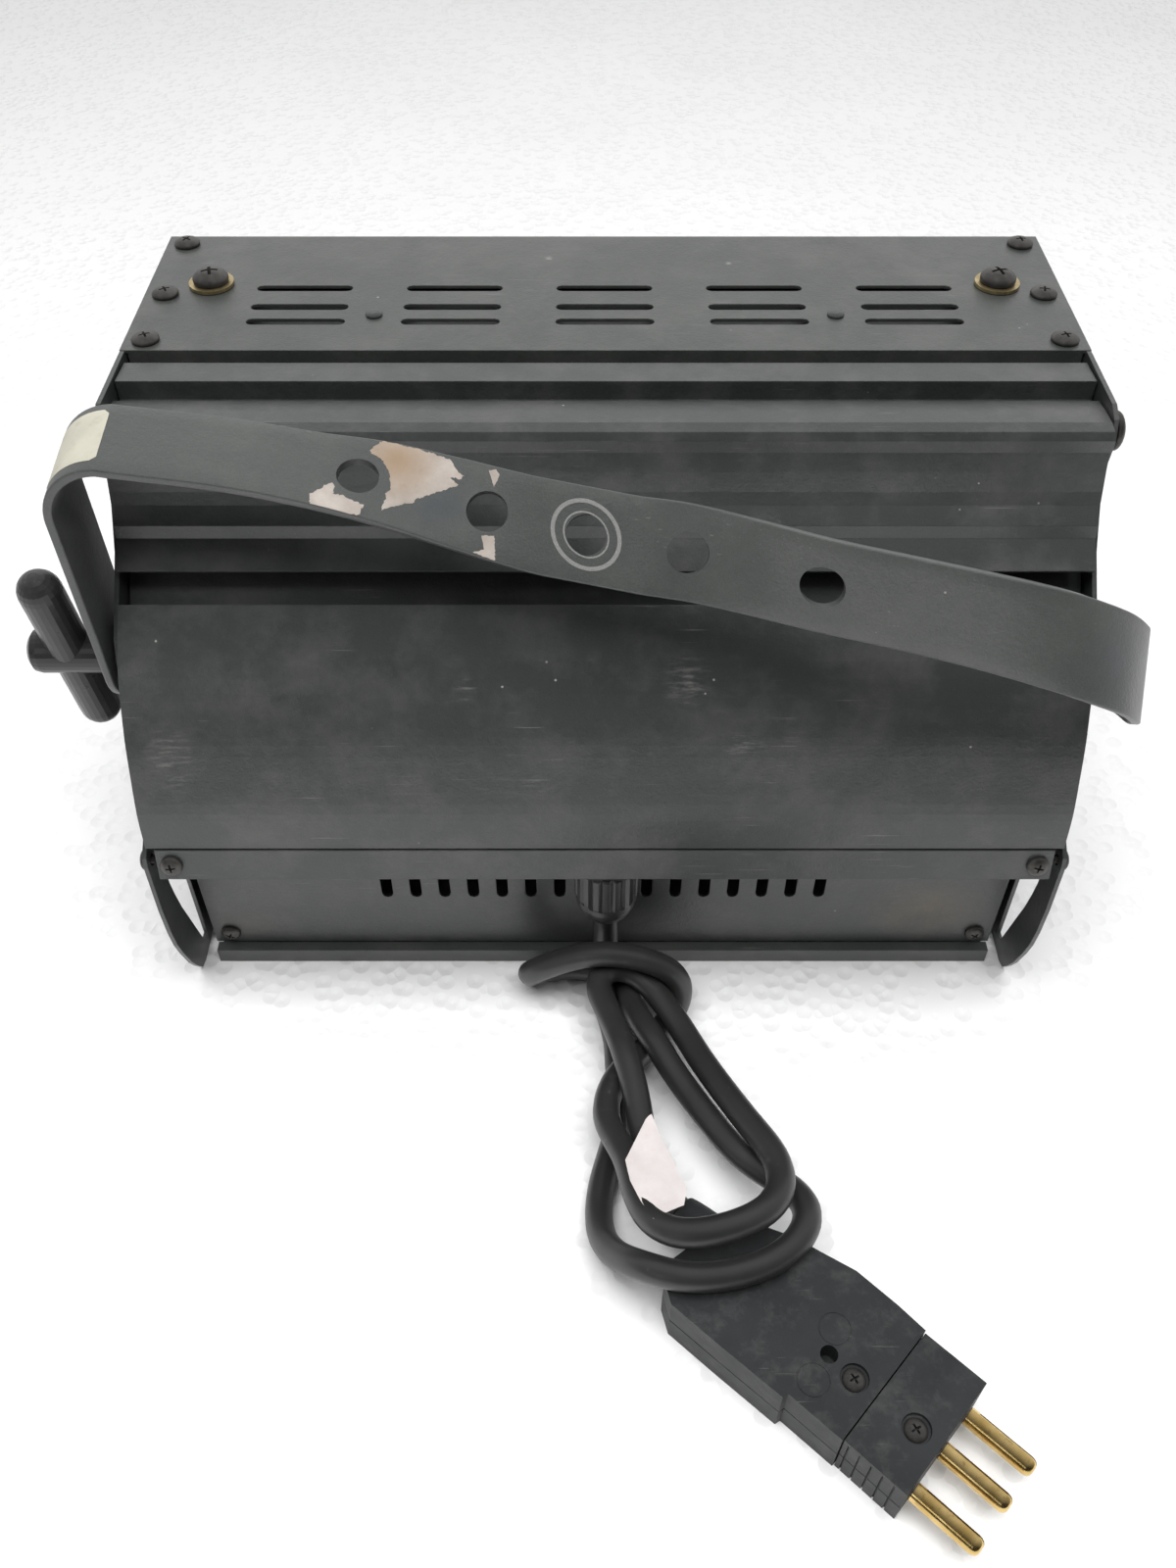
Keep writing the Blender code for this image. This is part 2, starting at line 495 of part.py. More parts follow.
def crossbar(x):
    """Middle of the outer face and slope at x, with the middle facet kept flat."""
    for a, b in zip(CROSSBAR, CROSSBAR[1:]):
        if x <= b[0]:
            break
    k = CROSSBAR.index(a)
    if a[0] == -20:
        t = (x + 20) / 28.0
        return tuple(a[i] + (b[i] - a[i]) * t for i in range(1, 4))
    prev = CROSSBAR[max(k - 1, 0)]
    nxt = CROSSBAR[min(k + 2, len(CROSSBAR) - 1)]
    t = (x - a[0]) / (b[0] - a[0])
    out = []
    for i in range(1, 4):
        ma = (b[i] - prev[i]) / (b[0] - prev[0]) if prev is not a else (b[i] - a[i]) / (b[0] - a[0])
        mb = (nxt[i] - a[i]) / (nxt[0] - a[0]) if nxt is not b else (b[i] - a[i]) / (b[0] - a[0])
        if b[0] == -20:
            mb = (CROSSBAR[k + 2][i] - b[i]) / (CROSSBAR[k + 2][0] - b[0])
        if a[0] == 8:
            ma = (a[i] - CROSSBAR[k - 1][i]) / (a[0] - CROSSBAR[k - 1][0])
        if i == 3 and b[0] == -20:
            mb = 0.0
        if i == 3 and a[0] == 8:
            ma = 0.0
        d = b[0] - a[0]
        out.append((2 * t**3 - 3 * t**2 + 1) * a[i] + (t**3 - 2 * t**2 + t) * d * ma + (-2 * t**3 + 3 * t**2) * b[i] + (t**3 - t**2) * d * mb)
    return tuple(out)


def yoke_arm(x_end, bend, x_pivot, sign):
    """Stations from the pivot's round end up the arm and round the bend."""
    xe = x_end - sign * bend
    s, h, slope = crossbar(xe)
    v = Vector((s - PIVOT_S, h - PIVOT_H))
    reach = v.length
    n = v / reach
    square = math.degrees(math.atan2(-n.x, n.y))
    rows = []
    half = BAR_W / 2
    for k in range(7):
        a = math.radians(88 - 88 * k / 6)
        rows.append((x_pivot, -half * math.sin(a), square, half * math.cos(a)))
    for k in range(1, 7):
        t = k / 6
        r = (reach - bend) * t
        rows.append((x_pivot + (x_end - x_pivot) * t, r, square + (slope - square) * t**2, half))
    out = []
    for x, r, f, w in rows:
        out.append((Vector((x, PIVOT_S + n.x * r, PIVOT_H + n.y * r)), math.radians(f), w))
    for k in range(1, 9):
        a = math.pi / 2 * k / 9
        r = reach - bend + bend * math.sin(a)
        x = x_end - sign * (bend - bend * math.cos(a))
        out.append((Vector((x, PIVOT_S + n.x * r, PIVOT_H + n.y * r)), math.radians(slope), half))
    return out, xe


def sweep_arm(per, along):
    """Stations from the right pivot's round end up the arm and round the wide bend."""
    foot = Vector((ARM_OUT, PIVOT_S, PIVOT_H))
    top = Vector(SWEEP[-2][:3])
    v = Vector((top.y - PIVOT_S, top.z - PIVOT_H))
    n = v.normalized()
    square = math.degrees(math.atan2(-n.x, n.y))
    half = BAR_W / 2
    rows = []
    for k in range(along):
        a = math.radians(88 - 88 * k / along)
        rows.append((Vector((ARM_OUT, PIVOT_S - n.x * half * math.sin(a), PIVOT_H - n.y * half * math.sin(a))), math.radians(square), half * math.cos(a)))
    for k in range(along + 1):
        at = foot.lerp(top, k / along * 0.94)
        at.x = ARM_OUT + (top.x - ARM_OUT) * max(0.0, (k / along - 0.4) / 0.6) ** 2 * 0.9
        rows.append((at, math.radians(square), half))
    bend = []
    for k in range(1, len(SWEEP) - 2):
        p, q, r, z = SWEEP[k - 1], SWEEP[k], SWEEP[k + 1], SWEEP[k + 2]
        for j in range(per):
            t = j / per
            bend.append([0.5 * (2 * q[i] + (r[i] - p[i]) * t + (2 * p[i] - 5 * q[i] + 4 * r[i] - z[i]) * t**2 + (3 * q[i] - p[i] - 3 * r[i] + z[i]) * t**3) for i in range(4)])
    bend.append(list(SWEEP[-2]))
    for x, s, h, slope in reversed(bend[1:]):
        rows.append((Vector((x, s, h)), math.radians(slope), half))
    return rows


left, x0 = yoke_arm(X_L, BEND_L, -ARM_OUT, -1)
right, x1 = sweep_arm(4, 6), 111.0
middle = []
xs = sorted(set([x0, x1] + [x0 + 6] + [-20.0, 8.0] + [x for x in range(-140, 110, 10) if not (-20 <= x <= 8 or x <= x0 + 7)]))
for x in xs:
    s, h, slope = crossbar(x)
    middle.append((Vector((x, s, h)), math.radians(slope), BAR_W / 2))
stations = left + middle + list(reversed(right))
bm = bmesh.new()
rows = []
CH = 0.5
for i, (p, f, half) in enumerate(stations):
    a = stations[max(i - 1, 0)][0]
    b = stations[min(i + 1, len(stations) - 1)][0]
    t = (b - a).normalized()
    if p.x == -20.0:
        t = (b - p).normalized()
    if p.x == 8.0:
        t = (p - a).normalized()
    w = Vector((0.0, math.cos(f), math.sin(f)))
    n = t.cross(w).normalized()
    ch = min(CH, half * 0.3)
    section = [(-half + ch, 0), (half - ch, 0), (half, -ch), (half, -BAR_T + ch), (half - ch, -BAR_T), (-half + ch, -BAR_T), (-half, -BAR_T + ch), (-half, -ch)]
    rows.append([bm.verts.new(p + w * u + n * v) for u, v in section])
for a, b in zip(rows, rows[1:]):
    for i in range(8):
        j = (i + 1) % 8
        bm.faces.new((a[i], a[j], b[j], b[i]))
bm.faces.new(rows[0])
bm.faces.new(rows[-1])
yoke = finish("yoke", bm, BLACK, parent=yoke_axis, smooth=30)
for k, x in enumerate(YOKE_HOLES_X):
    s, h, slope = crossbar(x)
    f = math.radians(slope)
    out = Vector((0.0, -math.sin(f), math.cos(f)))
    hole = finish("yoke_hole_%d" % (k + 1), lathe_bm([(YOKE_HOLE_R, -9), (YOKE_HOLE_R, 6)], (x, s, h), out, 28), None, hidden=True)
    boolean(yoke, hole, "DIFFERENCE")
for side, sx in (("left", -1), ("right", 1)):
    hole = finish("pivot_hole_" + side, lathe_bm([(4.5, 160), (4.5, 180)], (0, PIVOT_S, PIVOT_H), (sx, 0, 0), 20), None, hidden=True)
    boolean(yoke, hole, "DIFFERENCE")
    finish("pivot_spacer_" + side, lathe_bm([(4.5, PLATE_OUT + GAP), (10, PLATE_OUT + GAP), (10, ARM_IN - GAP), (4.5, ARM_IN - GAP)], (0, PIVOT_S, PIVOT_H), (sx, 0, 0), 24, ring=True), NYLON)

# ---------------------------------------------------------------- clamp handle and right pivot
handle_axis = empty("handle_axis", (-187.5, PIVOT_S, PIVOT_H))
hub = [(0, -201.5), (5.5, -201.2), (7.4, -199.8), (8.0, -197.5), (8.0, -ARM_OUT - GAP), (4.0, -ARM_OUT - GAP), (4.0, -158.0), (0, -158.0)]
handle = finish("clamp_handle", lathe_bm(hub, (0, PIVOT_S, PIVOT_H), (1, 0, 0), 28), KNOB, parent=handle_axis)
HALF_BAR, BAR_R = 40.0, 7.5
prof = []
for k in range(7):
    a = math.pi / 2 * k / 6
    prof.append((BAR_R * math.sin(a), -HALF_BAR + BAR_R - BAR_R * math.cos(a)))
prof += [(r, -t) for r, t in reversed(prof)]
lean = math.radians(12)
bar = finish("handle_bar", lathe_bm(prof, (-187.5, PIVOT_S, PIVOT_H), (0, -math.sin(lean), math.cos(lean)), 24), None, hidden=True)
boolean(handle, bar, "UNION")
bolt = [(0, 177.6), (5.0, 177.2), (7.0, 175.6), (7.5, 173.6), (7.5, ARM_OUT + GAP), (4.0, ARM_OUT + GAP), (4.0, 158.0), (0, 158.0)]
finish("pivot_bolt_right", lathe_bm(bolt, (0, PIVOT_S, PIVOT_H), (1, 0, 0), 24), DARK)

# ---------------------------------------------------------------- lead and plug
heading = Vector((math.cos(PLUG_HEADING), math.sin(PLUG_HEADING)))
across = Vector((-heading.y, heading.x))


def plug_place(a, b, h):
    return (PLUG_SEAM[0] + heading.x * a + across.x * b, PLUG_SEAM[1] + heading.y * a + across.y * b, h)


REAR_END = -78.0
PLUG_BODY = [(-0.4, -22.6), (-20.9, -23.0), (-21.5, -25.0), (-46, -26.0), (-66, -26.5), (-74, -22), (-77.4, -14), (REAR_END, -6), (REAR_END, 8), (-75, 13), (-64, 17), (-50, 19.5), (-41, 21.2), (-28.2, 24), (-11.5, 23.8), (-0.4, 23)]
plug = finish("plug_body", prism_bm([PLUG_BODY], plug_place, 0.0, PLUG_H), PLUGM)
bev = plug.modifiers.new("bevel", "BEVEL")
bev.width, bev.segments, bev.limit_method, bev.angle_limit = 0.0009, 1, "ANGLE", math.radians(50)
boss_at = Vector(plug_place(REAR_END + 2, 5.0, 12.5))
boss_dir = Vector((-heading.x, -heading.y, 0.0))
boss = finish("plug_boss", lathe_bm([(8.0, 0), (7.6, 5), (6.4, 11.7)], boss_at, boss_dir, 20), None, hidden=True)
boolean(plug, boss, "UNION")
face = finish("plug_face", prism_bm([[(-0.05, -22.0), (22.8, -22.0), (22.8, 22.4), (-0.05, 22.4)]], plug_place, 0.0, PLUG_H - 0.4), PLUGM)
bev = face.modifiers.new("bevel", "BEVEL")
bev.width, bev.segments, bev.limit_method, bev.angle_limit = 0.0009, 1, "ANGLE", math.radians(50)
for name, b in (("earth", -15.6), ("middle", 0.4), ("line", 14.6)):
    at = Vector(plug_place(22.8 + GAP, b, 13.0))
    finish("plug_pin_" + name, lathe_bm([(0, 0), (PIN_R, 0), (PIN_R, 21.5), (2.6, 23.2), (1.4, 24.0), (0, 24.0)], at, (heading.x, heading.y, 0.0), 16), BRASS)

# the lead, as it lies: down from the gland, round behind it and back, a wrap, two more loops, then the plug
LEAD_ROUTE = [
    (1, -5.4, 44.6), (1.1, -6.4, 22.5), (-0.4, -18, 12), (4.2, -34, 5.9), (6.6, -56.1, 5.2), (4.7, -79.9, 5.2),
    (-1.7, -103.3, 5.2), (-1.5, -122.5, 10.4), (6.8, -136.9, 23.2), (20.1, -145, 30.9), (40.7, -144.7, 30.6), (61, -136.5, 30.5),
    (69.8, -122.8, 29.5), (63, -110, 24.8), (48.8, -97.3, 20.8), (35.3, -75.6, 18), (22.6, -55.5, 18.5), (13.8, -38.5, 17.6),
    (10, -20.3, 11.5), (1.6, -7.9, 5.6), (-15.7, -4.2, 5.2), (-29, -10.3, 9.1), (-28.5, -17.8, 20.6), (-13.4, -17.9, 30.3),
    (7, -19.2, 34.3), (25.2, -21.5, 28.3), (31.1, -24.7, 14.8), (24.2, -33.2, 6.4), (15.1, -48.1, 10.4), (4.2, -62.8, 16),
    (0, -80.4, 18.5), (7.7, -99.4, 25), (11.7, -121.6, 33.2), (20.4, -134.7, 40), (38.6, -133.8, 41.3), (56.4, -124.5, 39.8),
    (60.1, -108.8, 34.8), (51.2, -87.9, 28.3), (39.6, -65.1, 22.6), (30, -42.5, 18.4), (19.9, -24.4, 19.6), (7, -16.7, 23.8),
    (-3.6, -22.1, 23.6), (1.9, -37.2, 22.8), (8, -58.7, 25.9), (12.7, -78.6, 21.4), (15.2, -97.8, 13.2), (20.5, -108.2, 12.5), (26.4, -113.7, 12.5),
]


def through(points, per=10):
    """Smooth curve through the route, even where its points crowd."""
    p = np.vstack([2 * points[0] - points[1], points, 2 * points[-1] - points[-2]])
    out = []
    for a, b, c, d in zip(p, p[1:], p[2:], p[3:]):
        ta = 0.0
        tb = ta + np.linalg.norm(b - a) ** 0.5
        tc = tb + np.linalg.norm(c - b) ** 0.5
        td = tc + np.linalg.norm(d - c) ** 0.5
        for t in np.linspace(tb, tc, per, endpoint=False):
            ab = a + (b - a) * (t - ta) / (tb - ta)
            bc = b + (c - b) * (t - tb) / (tc - tb)
            cd = c + (d - c) * (t - tc) / (td - tc)
            u = ab + (bc - ab) * (t - ta) / (tc - ta)
            v = bc + (cd - bc) * (t - tb) / (td - tb)
            out.append(u + (v - u) * (t - tb) / (tc - tb))
    out.append(points[-1])
    return np.array(out)


def even(line, step):
    run = np.r_[0.0, np.cumsum(np.linalg.norm(np.diff(line, axis=0), axis=1))]
    at = np.linspace(0.0, run[-1], int(round(run[-1] / step)) + 1)
    return np.stack([np.interp(at, run, line[:, i]) for i in range(3)], -1)


def settle(line, apart, rounds=260, skip=9, floor=LEAD_R + 0.2):
    """Eases an evenly spaced lead: bends spread, strands lie apart, nothing sinks into the floor."""
    start, c = line.copy(), line.copy()
    for _ in range(rounds):
        f = 0.02 * (start - c)
        f[2:-2] -= 0.5 * (c[4:] - 4 * c[3:-1] + 6 * c[2:-2] - 4 * c[1:-3] + c[:-4]) / 16
        d = np.diff(c, axis=0)
        run = np.linalg.norm(d, axis=1)
        pull = d / run[:, None] * ((run - run.mean()) * 0.3)[:, None]
        f[:-1] += pull
        f[1:] -= pull
        gap = c[:, None] - c[None]
        dist = np.linalg.norm(gap, axis=2)
        i, j = np.where(dist < apart)
        far = np.abs(i - j) >= skip
        i, j = i[far], j[far]
        if len(i):
            v = gap[i, j] * np.array([0.45, 0.45, 1.0])
            v /= np.linalg.norm(v, axis=1)[:, None]
            push, hits = np.zeros_like(c), np.zeros(len(c))
            np.add.at(push, i, v * ((apart - dist[i, j]) * 0.5)[:, None])
            np.add.at(hits, i, 1)
            f += 0.8 * push / np.sqrt(np.maximum(hits, 1))[:, None]
        c += f
        c[:, 2] = np.maximum(c[:, 2], floor)
        # it rides over the plug and stays behind the panel and the base
        q = c[:, :2] - np.array(PLUG_SEAM)
        a, b = q @ np.array(heading), q @ np.array(across)
        over = (a > -81) & (a < 4) & (b > -29) & (b < 27) & (c[:, 2] > 14)
        over[-12:] = False
        c[over, 2] = np.maximum(c[over, 2], PLUG_H + LEAD_R + 0.8)
        c[:, 1] = np.minimum(c[:, 1], np.where(c[:, 2] < 12.5, 2.5, 7.0) - LEAD_R - 0.4)
        c[:3], c[-3:] = start[:3], start[-3:]
    return c


def chosen(line, count):
    """Points along the line, closest together in its bends."""
    d = np.diff(line, axis=0)
    run = np.linalg.norm(d, axis=1)
    t = d / run[:, None]
    turn = np.zeros(len(line))
    turn[1:-1] = np.arccos(np.clip((t[1:] * t[:-1]).sum(1), -1, 1))
    turn = np.convolve(turn, np.ones(9) / 9, "same")
    at = np.r_[0.0, np.cumsum(run * (1 + 2.0 * (turn[1:] + turn[:-1])))]
    q = np.linspace(0, at[-1], count)
    return np.stack([np.interp(q, at, line[:, i]) for i in range(3)], -1)


lead_line = chosen(even(settle(even(through(np.array(LEAD_ROUTE, dtype=float)), 3.0), 2 * LEAD_R + 1.6), 3.0), 80)
curve = bpy.data.curves.new("supply_lead", "CURVE")
curve.dimensions = "3D"
curve.bevel_depth = LEAD_R * MM
curve.bevel_resolution = 2
curve.use_fill_caps = True
spline = curve.splines.new("POLY")
spline.points.add(len(lead_line) - 1)
mid = world(lead_line.mean(axis=0))
for point, at in zip(spline.points, lead_line):
    point.co = (*(world(at) - mid), 1.0)
curve.materials.append(RUBBER)
lead = bpy.data.objects.new("supply_lead", curve)
lead.location = mid
bpy.context.scene.collection.objects.link(lead)
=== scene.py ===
"""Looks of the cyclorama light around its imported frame.

Lengths written below are millimetres in the light's own axes, as in the part:
x to the right seen from behind, s from the back to the front, h up. P() turns
them into the frame's metres.
"""

import math
import random

import bmesh
import bpy
import numpy as np
from mathutils import Matrix, Vector


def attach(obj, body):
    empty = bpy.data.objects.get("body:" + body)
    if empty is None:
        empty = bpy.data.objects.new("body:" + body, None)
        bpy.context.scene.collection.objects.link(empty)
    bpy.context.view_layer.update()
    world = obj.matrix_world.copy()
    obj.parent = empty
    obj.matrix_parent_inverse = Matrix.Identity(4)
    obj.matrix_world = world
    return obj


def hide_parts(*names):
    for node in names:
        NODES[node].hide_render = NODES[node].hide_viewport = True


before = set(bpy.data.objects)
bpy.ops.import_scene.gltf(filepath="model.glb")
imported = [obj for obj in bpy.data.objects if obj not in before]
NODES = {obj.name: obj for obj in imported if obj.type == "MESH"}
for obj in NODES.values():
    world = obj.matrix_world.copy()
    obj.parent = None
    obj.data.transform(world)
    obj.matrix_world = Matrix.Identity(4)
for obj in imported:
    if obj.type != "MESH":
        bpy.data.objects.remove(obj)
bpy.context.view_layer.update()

ORIGIN_X, ORIGIN_S = -11.95, 78.551
MM = 0.001
scene = bpy.context.scene


def P(x, s, h):
    return Vector(((x - ORIGIN_X) * MM, (s - ORIGIN_S) * MM, h * MM))


# ---------------------------------------------------------------- camera
cam_data = bpy.data.cameras.new("camera")
cam_data.sensor_width = 36.0
cam_data.lens = 31.16
cam_data.clip_start = 0.01
cam = bpy.data.objects.new("camera", cam_data)
cam.location = P(-6.0, -330.0, 465.0)
cam.rotation_euler = (math.radians(43.0), 0.0, 0.0)
scene.collection.objects.link(cam)
scene.camera = cam


def in_frame(x, s, h):
    """Where a point lands in the 1200 x 1600 frame."""
    z = 565.0 - 0.7314 * h + 0.682 * s
    y = 75.5 - 0.682 * h - 0.7314 * s
    return 600.0 + 1385.0 * (x + 6.0) / z, 800.0 + 1385.0 * y / z


# ---------------------------------------------------------------- node helpers
class Graph:
    def __init__(self, name, **bsdf):
        self.mat = bpy.data.materials.new(name)
        self.mat.use_nodes = True
        self.nt = self.mat.node_tree
        self.bsdf = self.nt.nodes["Principled BSDF"]
        self.coord = self.nt.nodes.new("ShaderNodeTexCoord")
        self.set(**bsdf)

    def set(self, **kw):
        for k, v in kw.items():
            self.bsdf.inputs[k.replace("_", " ")].default_value = v

    def link(self, a, b):
        self.nt.links.new(a, b)

    def mapping(self, scale=(1, 1, 1), rot=(0, 0, 0), loc=(0, 0, 0), src=None):
        n = self.nt.nodes.new("ShaderNodeMapping")
        n.inputs["Scale"].default_value = scale
        n.inputs["Rotation"].default_value = rot
        n.inputs["Location"].default_value = loc
        self.link(src or self.coord.outputs["Object"], n.inputs["Vector"])
        return n.outputs["Vector"]

    def noise(self, scale, detail=2.0, rough=0.5, vec=None, distortion=0.0):
        n = self.nt.nodes.new("ShaderNodeTexNoise")
        n.inputs["Scale"].default_value = scale
        n.inputs["Detail"].default_value = detail
        n.inputs["Roughness"].default_value = rough
        n.inputs["Distortion"].default_value = distortion
        self.link(vec or self.coord.outputs["Object"], n.inputs["Vector"])
        return n.outputs["Fac"]

    def voronoi(self, scale, vec=None, feature="F1", out="Distance", rand=1.0):
        n = self.nt.nodes.new("ShaderNodeTexVoronoi")
        n.feature = feature
        n.inputs["Scale"].default_value = scale
        n.inputs["Randomness"].default_value = rand
        self.link(vec or self.coord.outputs["Object"], n.inputs["Vector"])
        return n.outputs[out]

    def ramp(self, fac, *stops):
        n = self.nt.nodes.new("ShaderNodeValToRGB")
        els = n.color_ramp.elements
        while len(els) < len(stops):
            els.new(0.5)
        for e, (pos, col) in zip(els, stops):
            e.position = pos
            c = col if hasattr(col, "__len__") else (col, col, col)
            e.color = (*c, 1.0)
        self.link(fac, n.inputs["Fac"])
        return n.outputs["Color"]

    def math(self, op, a, b=None, clamp=False):
        n = self.nt.nodes.new("ShaderNodeMath")
        n.operation = op
        n.use_clamp = clamp
        for i, v in enumerate((a, b)):
            if v is None:
                continue
            if isinstance(v, (int, float)):
                n.inputs[i].default_value = v
            else:
                self.link(v, n.inputs[i])
        return n.outputs[0]

    def mix(self, fac, a, b, blend="MIX"):
        n = self.nt.nodes.new("ShaderNodeMix")
        n.data_type = "RGBA"
        n.blend_type = blend
        for i, v in ((0, fac), (6, a), (7, b)):
            if isinstance(v, (int, float)):
                n.inputs[i].default_value = v
            elif hasattr(v, "__len__"):
                n.inputs[i].default_value = (*v, 1.0)
            else:
                self.link(v, n.inputs[i])
        return n.outputs[2]

    def xyz(self, vec=None):
        n = self.nt.nodes.new("ShaderNodeSeparateXYZ")
        self.link(vec or self.coord.outputs["Object"], n.inputs[0])
        return n.outputs

    def near(self, centre, radii, soft=0.35):
        """1 at a point of the light, falling to 0 at an ellipsoid of these radii in millimetres."""
        c = P(*centre)
        m = self.mapping(scale=tuple(1000.0 / r for r in radii), loc=tuple(-c[i] * 1000.0 / radii[i] for i in range(3)))
        n = self.nt.nodes.new("ShaderNodeVectorMath")
        n.operation = "LENGTH"
        self.link(m, n.inputs[0])
        return self.ramp(n.outputs["Value"], (1.0 - soft, 1.0), (1.0, 0.0))

    def bump(self, *layers, rounded=0.0):
        """Each layer is (height, strength, distance in millimetres)."""
        normal = None
        if rounded:
            n = self.nt.nodes.new("ShaderNodeBevel")
            n.samples = 4
            n.inputs["Radius"].default_value = rounded * MM
            normal = n.outputs["Normal"]
        for height, strength, distance in layers:
            n = self.nt.nodes.new("ShaderNodeBump")
            n.inputs["Strength"].default_value = strength
            n.inputs["Distance"].default_value = distance * MM
            self.link(height, n.inputs["Height"])
            if normal:
                self.link(normal, n.inputs["Normal"])
            normal = n.outputs["Normal"]
        self.link(normal, self.bsdf.inputs["Normal"])

    def colour(self, out):
        self.link(out, self.bsdf.inputs["Base Color"])

    def rough(self, out):
        self.link(out, self.bsdf.inputs["Roughness"])


# ---------------------------------------------------------------- materials
def coat(name, base=(0.040, 0.043, 0.041), dust=0.20, grain=0.5, rounded=0.45, stains_and_shade=(), rubs=(), streaks=True):
    """Charcoal powder coat: fine orange peel, slight mottling, dust, rubs and fine scratches."""
    g = Graph(name)
    g.set(**{"Specular IOR Level": 0.78})
    dark = tuple(c * 0.88 for c in base)
    light = tuple(c * 1.12 for c in base)
    col = g.mix(g.ramp(g.noise(14, 5, 0.6), (0.3, 0.0), (0.72, 1.0)), dark, light)
    speck = g.noise(2300, 1.0, 0.5)
    col = g.mix(g.ramp(speck, (0.35, 0.0), (0.75, 1.0)), col, tuple(c * 1.35 for c in base))
    # thin dust, thickest in patches
    haze = g.math("MULTIPLY", g.ramp(g.noise(36, 8, 0.72), (0.46, 0.0), (0.78, 1.0)), dust)
    col = g.mix(haze, col, (0.20, 0.195, 0.18))
    # scattered specks of lint and paint
    cell = g.voronoi(150)
    pick = g.noise(55, 2, 0.5)
    dots = g.math("MULTIPLY", g.ramp(cell, (0.045, 1.0), (0.075, 0.0)), g.ramp(pick, (0.62, 0.0), (0.66, 1.0)))
    col = g.mix(g.math("MULTIPLY", dots, 0.55), col, (0.42, 0.40, 0.36))
    rough = g.math("ADD", g.math("MULTIPLY", g.noise(60, 6, 0.65), 0.16), 0.30)
    if streaks:
        for rot, where in (((0.3, 0.2, 0.9), 31), ((0.5, 1.1, 2.3), 23)):
            lines = g.noise(1.0, 3, 0.6, g.mapping(scale=(26, 1500, 1500), rot=rot))
            mask = g.ramp(g.noise(where, 2, 0.5), (0.58, 0.0), (0.66, 1.0))
            sc = g.math("MULTIPLY", g.ramp(lines, (0.66, 0.0), (0.70, 1.0)), mask)
            col = g.mix(g.math("MULTIPLY", sc, 0.40), col, (0.24, 0.235, 0.22))
    # stains, and on the yoke a darker patch of painted shade over a dent, each mixed in with its tint
    for centre, radii, tint, amount in stains_and_shade:
        fac = g.math("MULTIPLY", g.near(centre, radii, 0.9), g.ramp(g.noise(70, 6, 0.7), (0.30, 0.2), (0.62, 1.0)))
        col = g.mix(g.math("MULTIPLY", fac, amount), col, tint)
    for centre, radii, amount in rubs:
        worn = g.noise(1.0, 4, 0.65, g.mapping(scale=(120, 700, 700), rot=(0.2, 0.1, 0.5)))
        fac = g.math("MULTIPLY", g.near(centre, radii, 0.95), g.ramp(worn, (0.50, 0.0), (0.66, 1.0)))
        col = g.mix(g.math("MULTIPLY", fac, amount), col, (0.25, 0.25, 0.235))
    g.colour(col)
    g.rough(rough)
    g.bump((g.noise(1250, 2, 0.5), grain, 0.16), (g.noise(420, 2, 0.5), grain * 0.6, 0.30), rounded=rounded)
    return g.mat


HOUSING = coat("charcoal_coat", base=(0.025, 0.027, 0.027), rubs=(
    ((-150, -3, 128), (9, 30, 14), 0.45), ((28, 12, 152), (10, 20, 9), 0.40), ((48, -2, 133), (9, 20, 7), 0.35),
    ((-48, 8, 150), (5, 20, 5), 0.40), ((-30, -6, 118), (22, 10, 5), 0.2)))
TOP = coat("charcoal_coat_top", base=(0.030, 0.033, 0.031), dust=0.16, rubs=(
    ((-21, 166, 225), (2.0, 2.0, 6), 1.0), ((-24, 150, 225), (1.6, 1.6, 6), 1.0), ((47, 162, 225), (1.6, 1.6, 6), 0.9), ((49, 118, 225), (1.8, 5, 6), 0.8)))
PANEL = coat("charcoal_coat_panel", base=(0.046, 0.050, 0.048), dust=0.22, stains_and_shade=(
    ((130, 7, 30), (26, 10, 20), (0.17, 0.13, 0.08), 0.6), ((-146, 7, 20), (16, 10, 12), (0.12, 0.10, 0.07), 0.35), ((20, 7, 22), (60, 10, 10), (0.10, 0.10, 0.095), 0.3)))
INSIDE = coat("charcoal_coat_inside", base=(0.026, 0.027, 0.027), dust=0.08, streaks=False)
# on the yoke: the first patch is rubbed paint made darker and bluish, with the shade of a dent painted into it; the
# second makes the right bend lighter and bluish
YOKE = coat("charcoal_coat_yoke", base=(0.042, 0.045, 0.043), dust=0.10, grain=0.65, rounded=0.0, stains_and_shade=(
    ((-52, 22, 217), (13, 14, 10), (0.030, 0.036, 0.045), 0.65), ((150, -29, 196), (13, 16, 14), (0.050, 0.056, 0.064), 0.6)))


def bare_metal():
    g = Graph("bare_metal", Metallic=0.15)
    col = g.mix(g.ramp(g.noise(60, 6, 0.65), (0.35, 0.0), (0.7, 1.0)), (0.27, 0.235, 0.205), (0.41, 0.37, 0.335))
    tan = g.math("MULTIPLY", g.near((-66, 34, 222), (15, 15, 15), 0.9), 0.85)
    col = g.mix(tan, col, (0.25, 0.17, 0.10))
    rust = g.math("MULTIPLY", g.ramp(g.noise(110, 6, 0.7), (0.56, 0.0), (0.70, 1.0)), 0.45)
    col = g.mix(rust, col, (0.25, 0.17, 0.10))
    g.colour(col)
    g.rough(g.math("ADD", g.math("MULTIPLY", g.noise(300, 4, 0.6), 0.25), 0.42))
    g.bump((g.noise(700, 4, 0.6), 0.35, 0.12))
    return g.mat


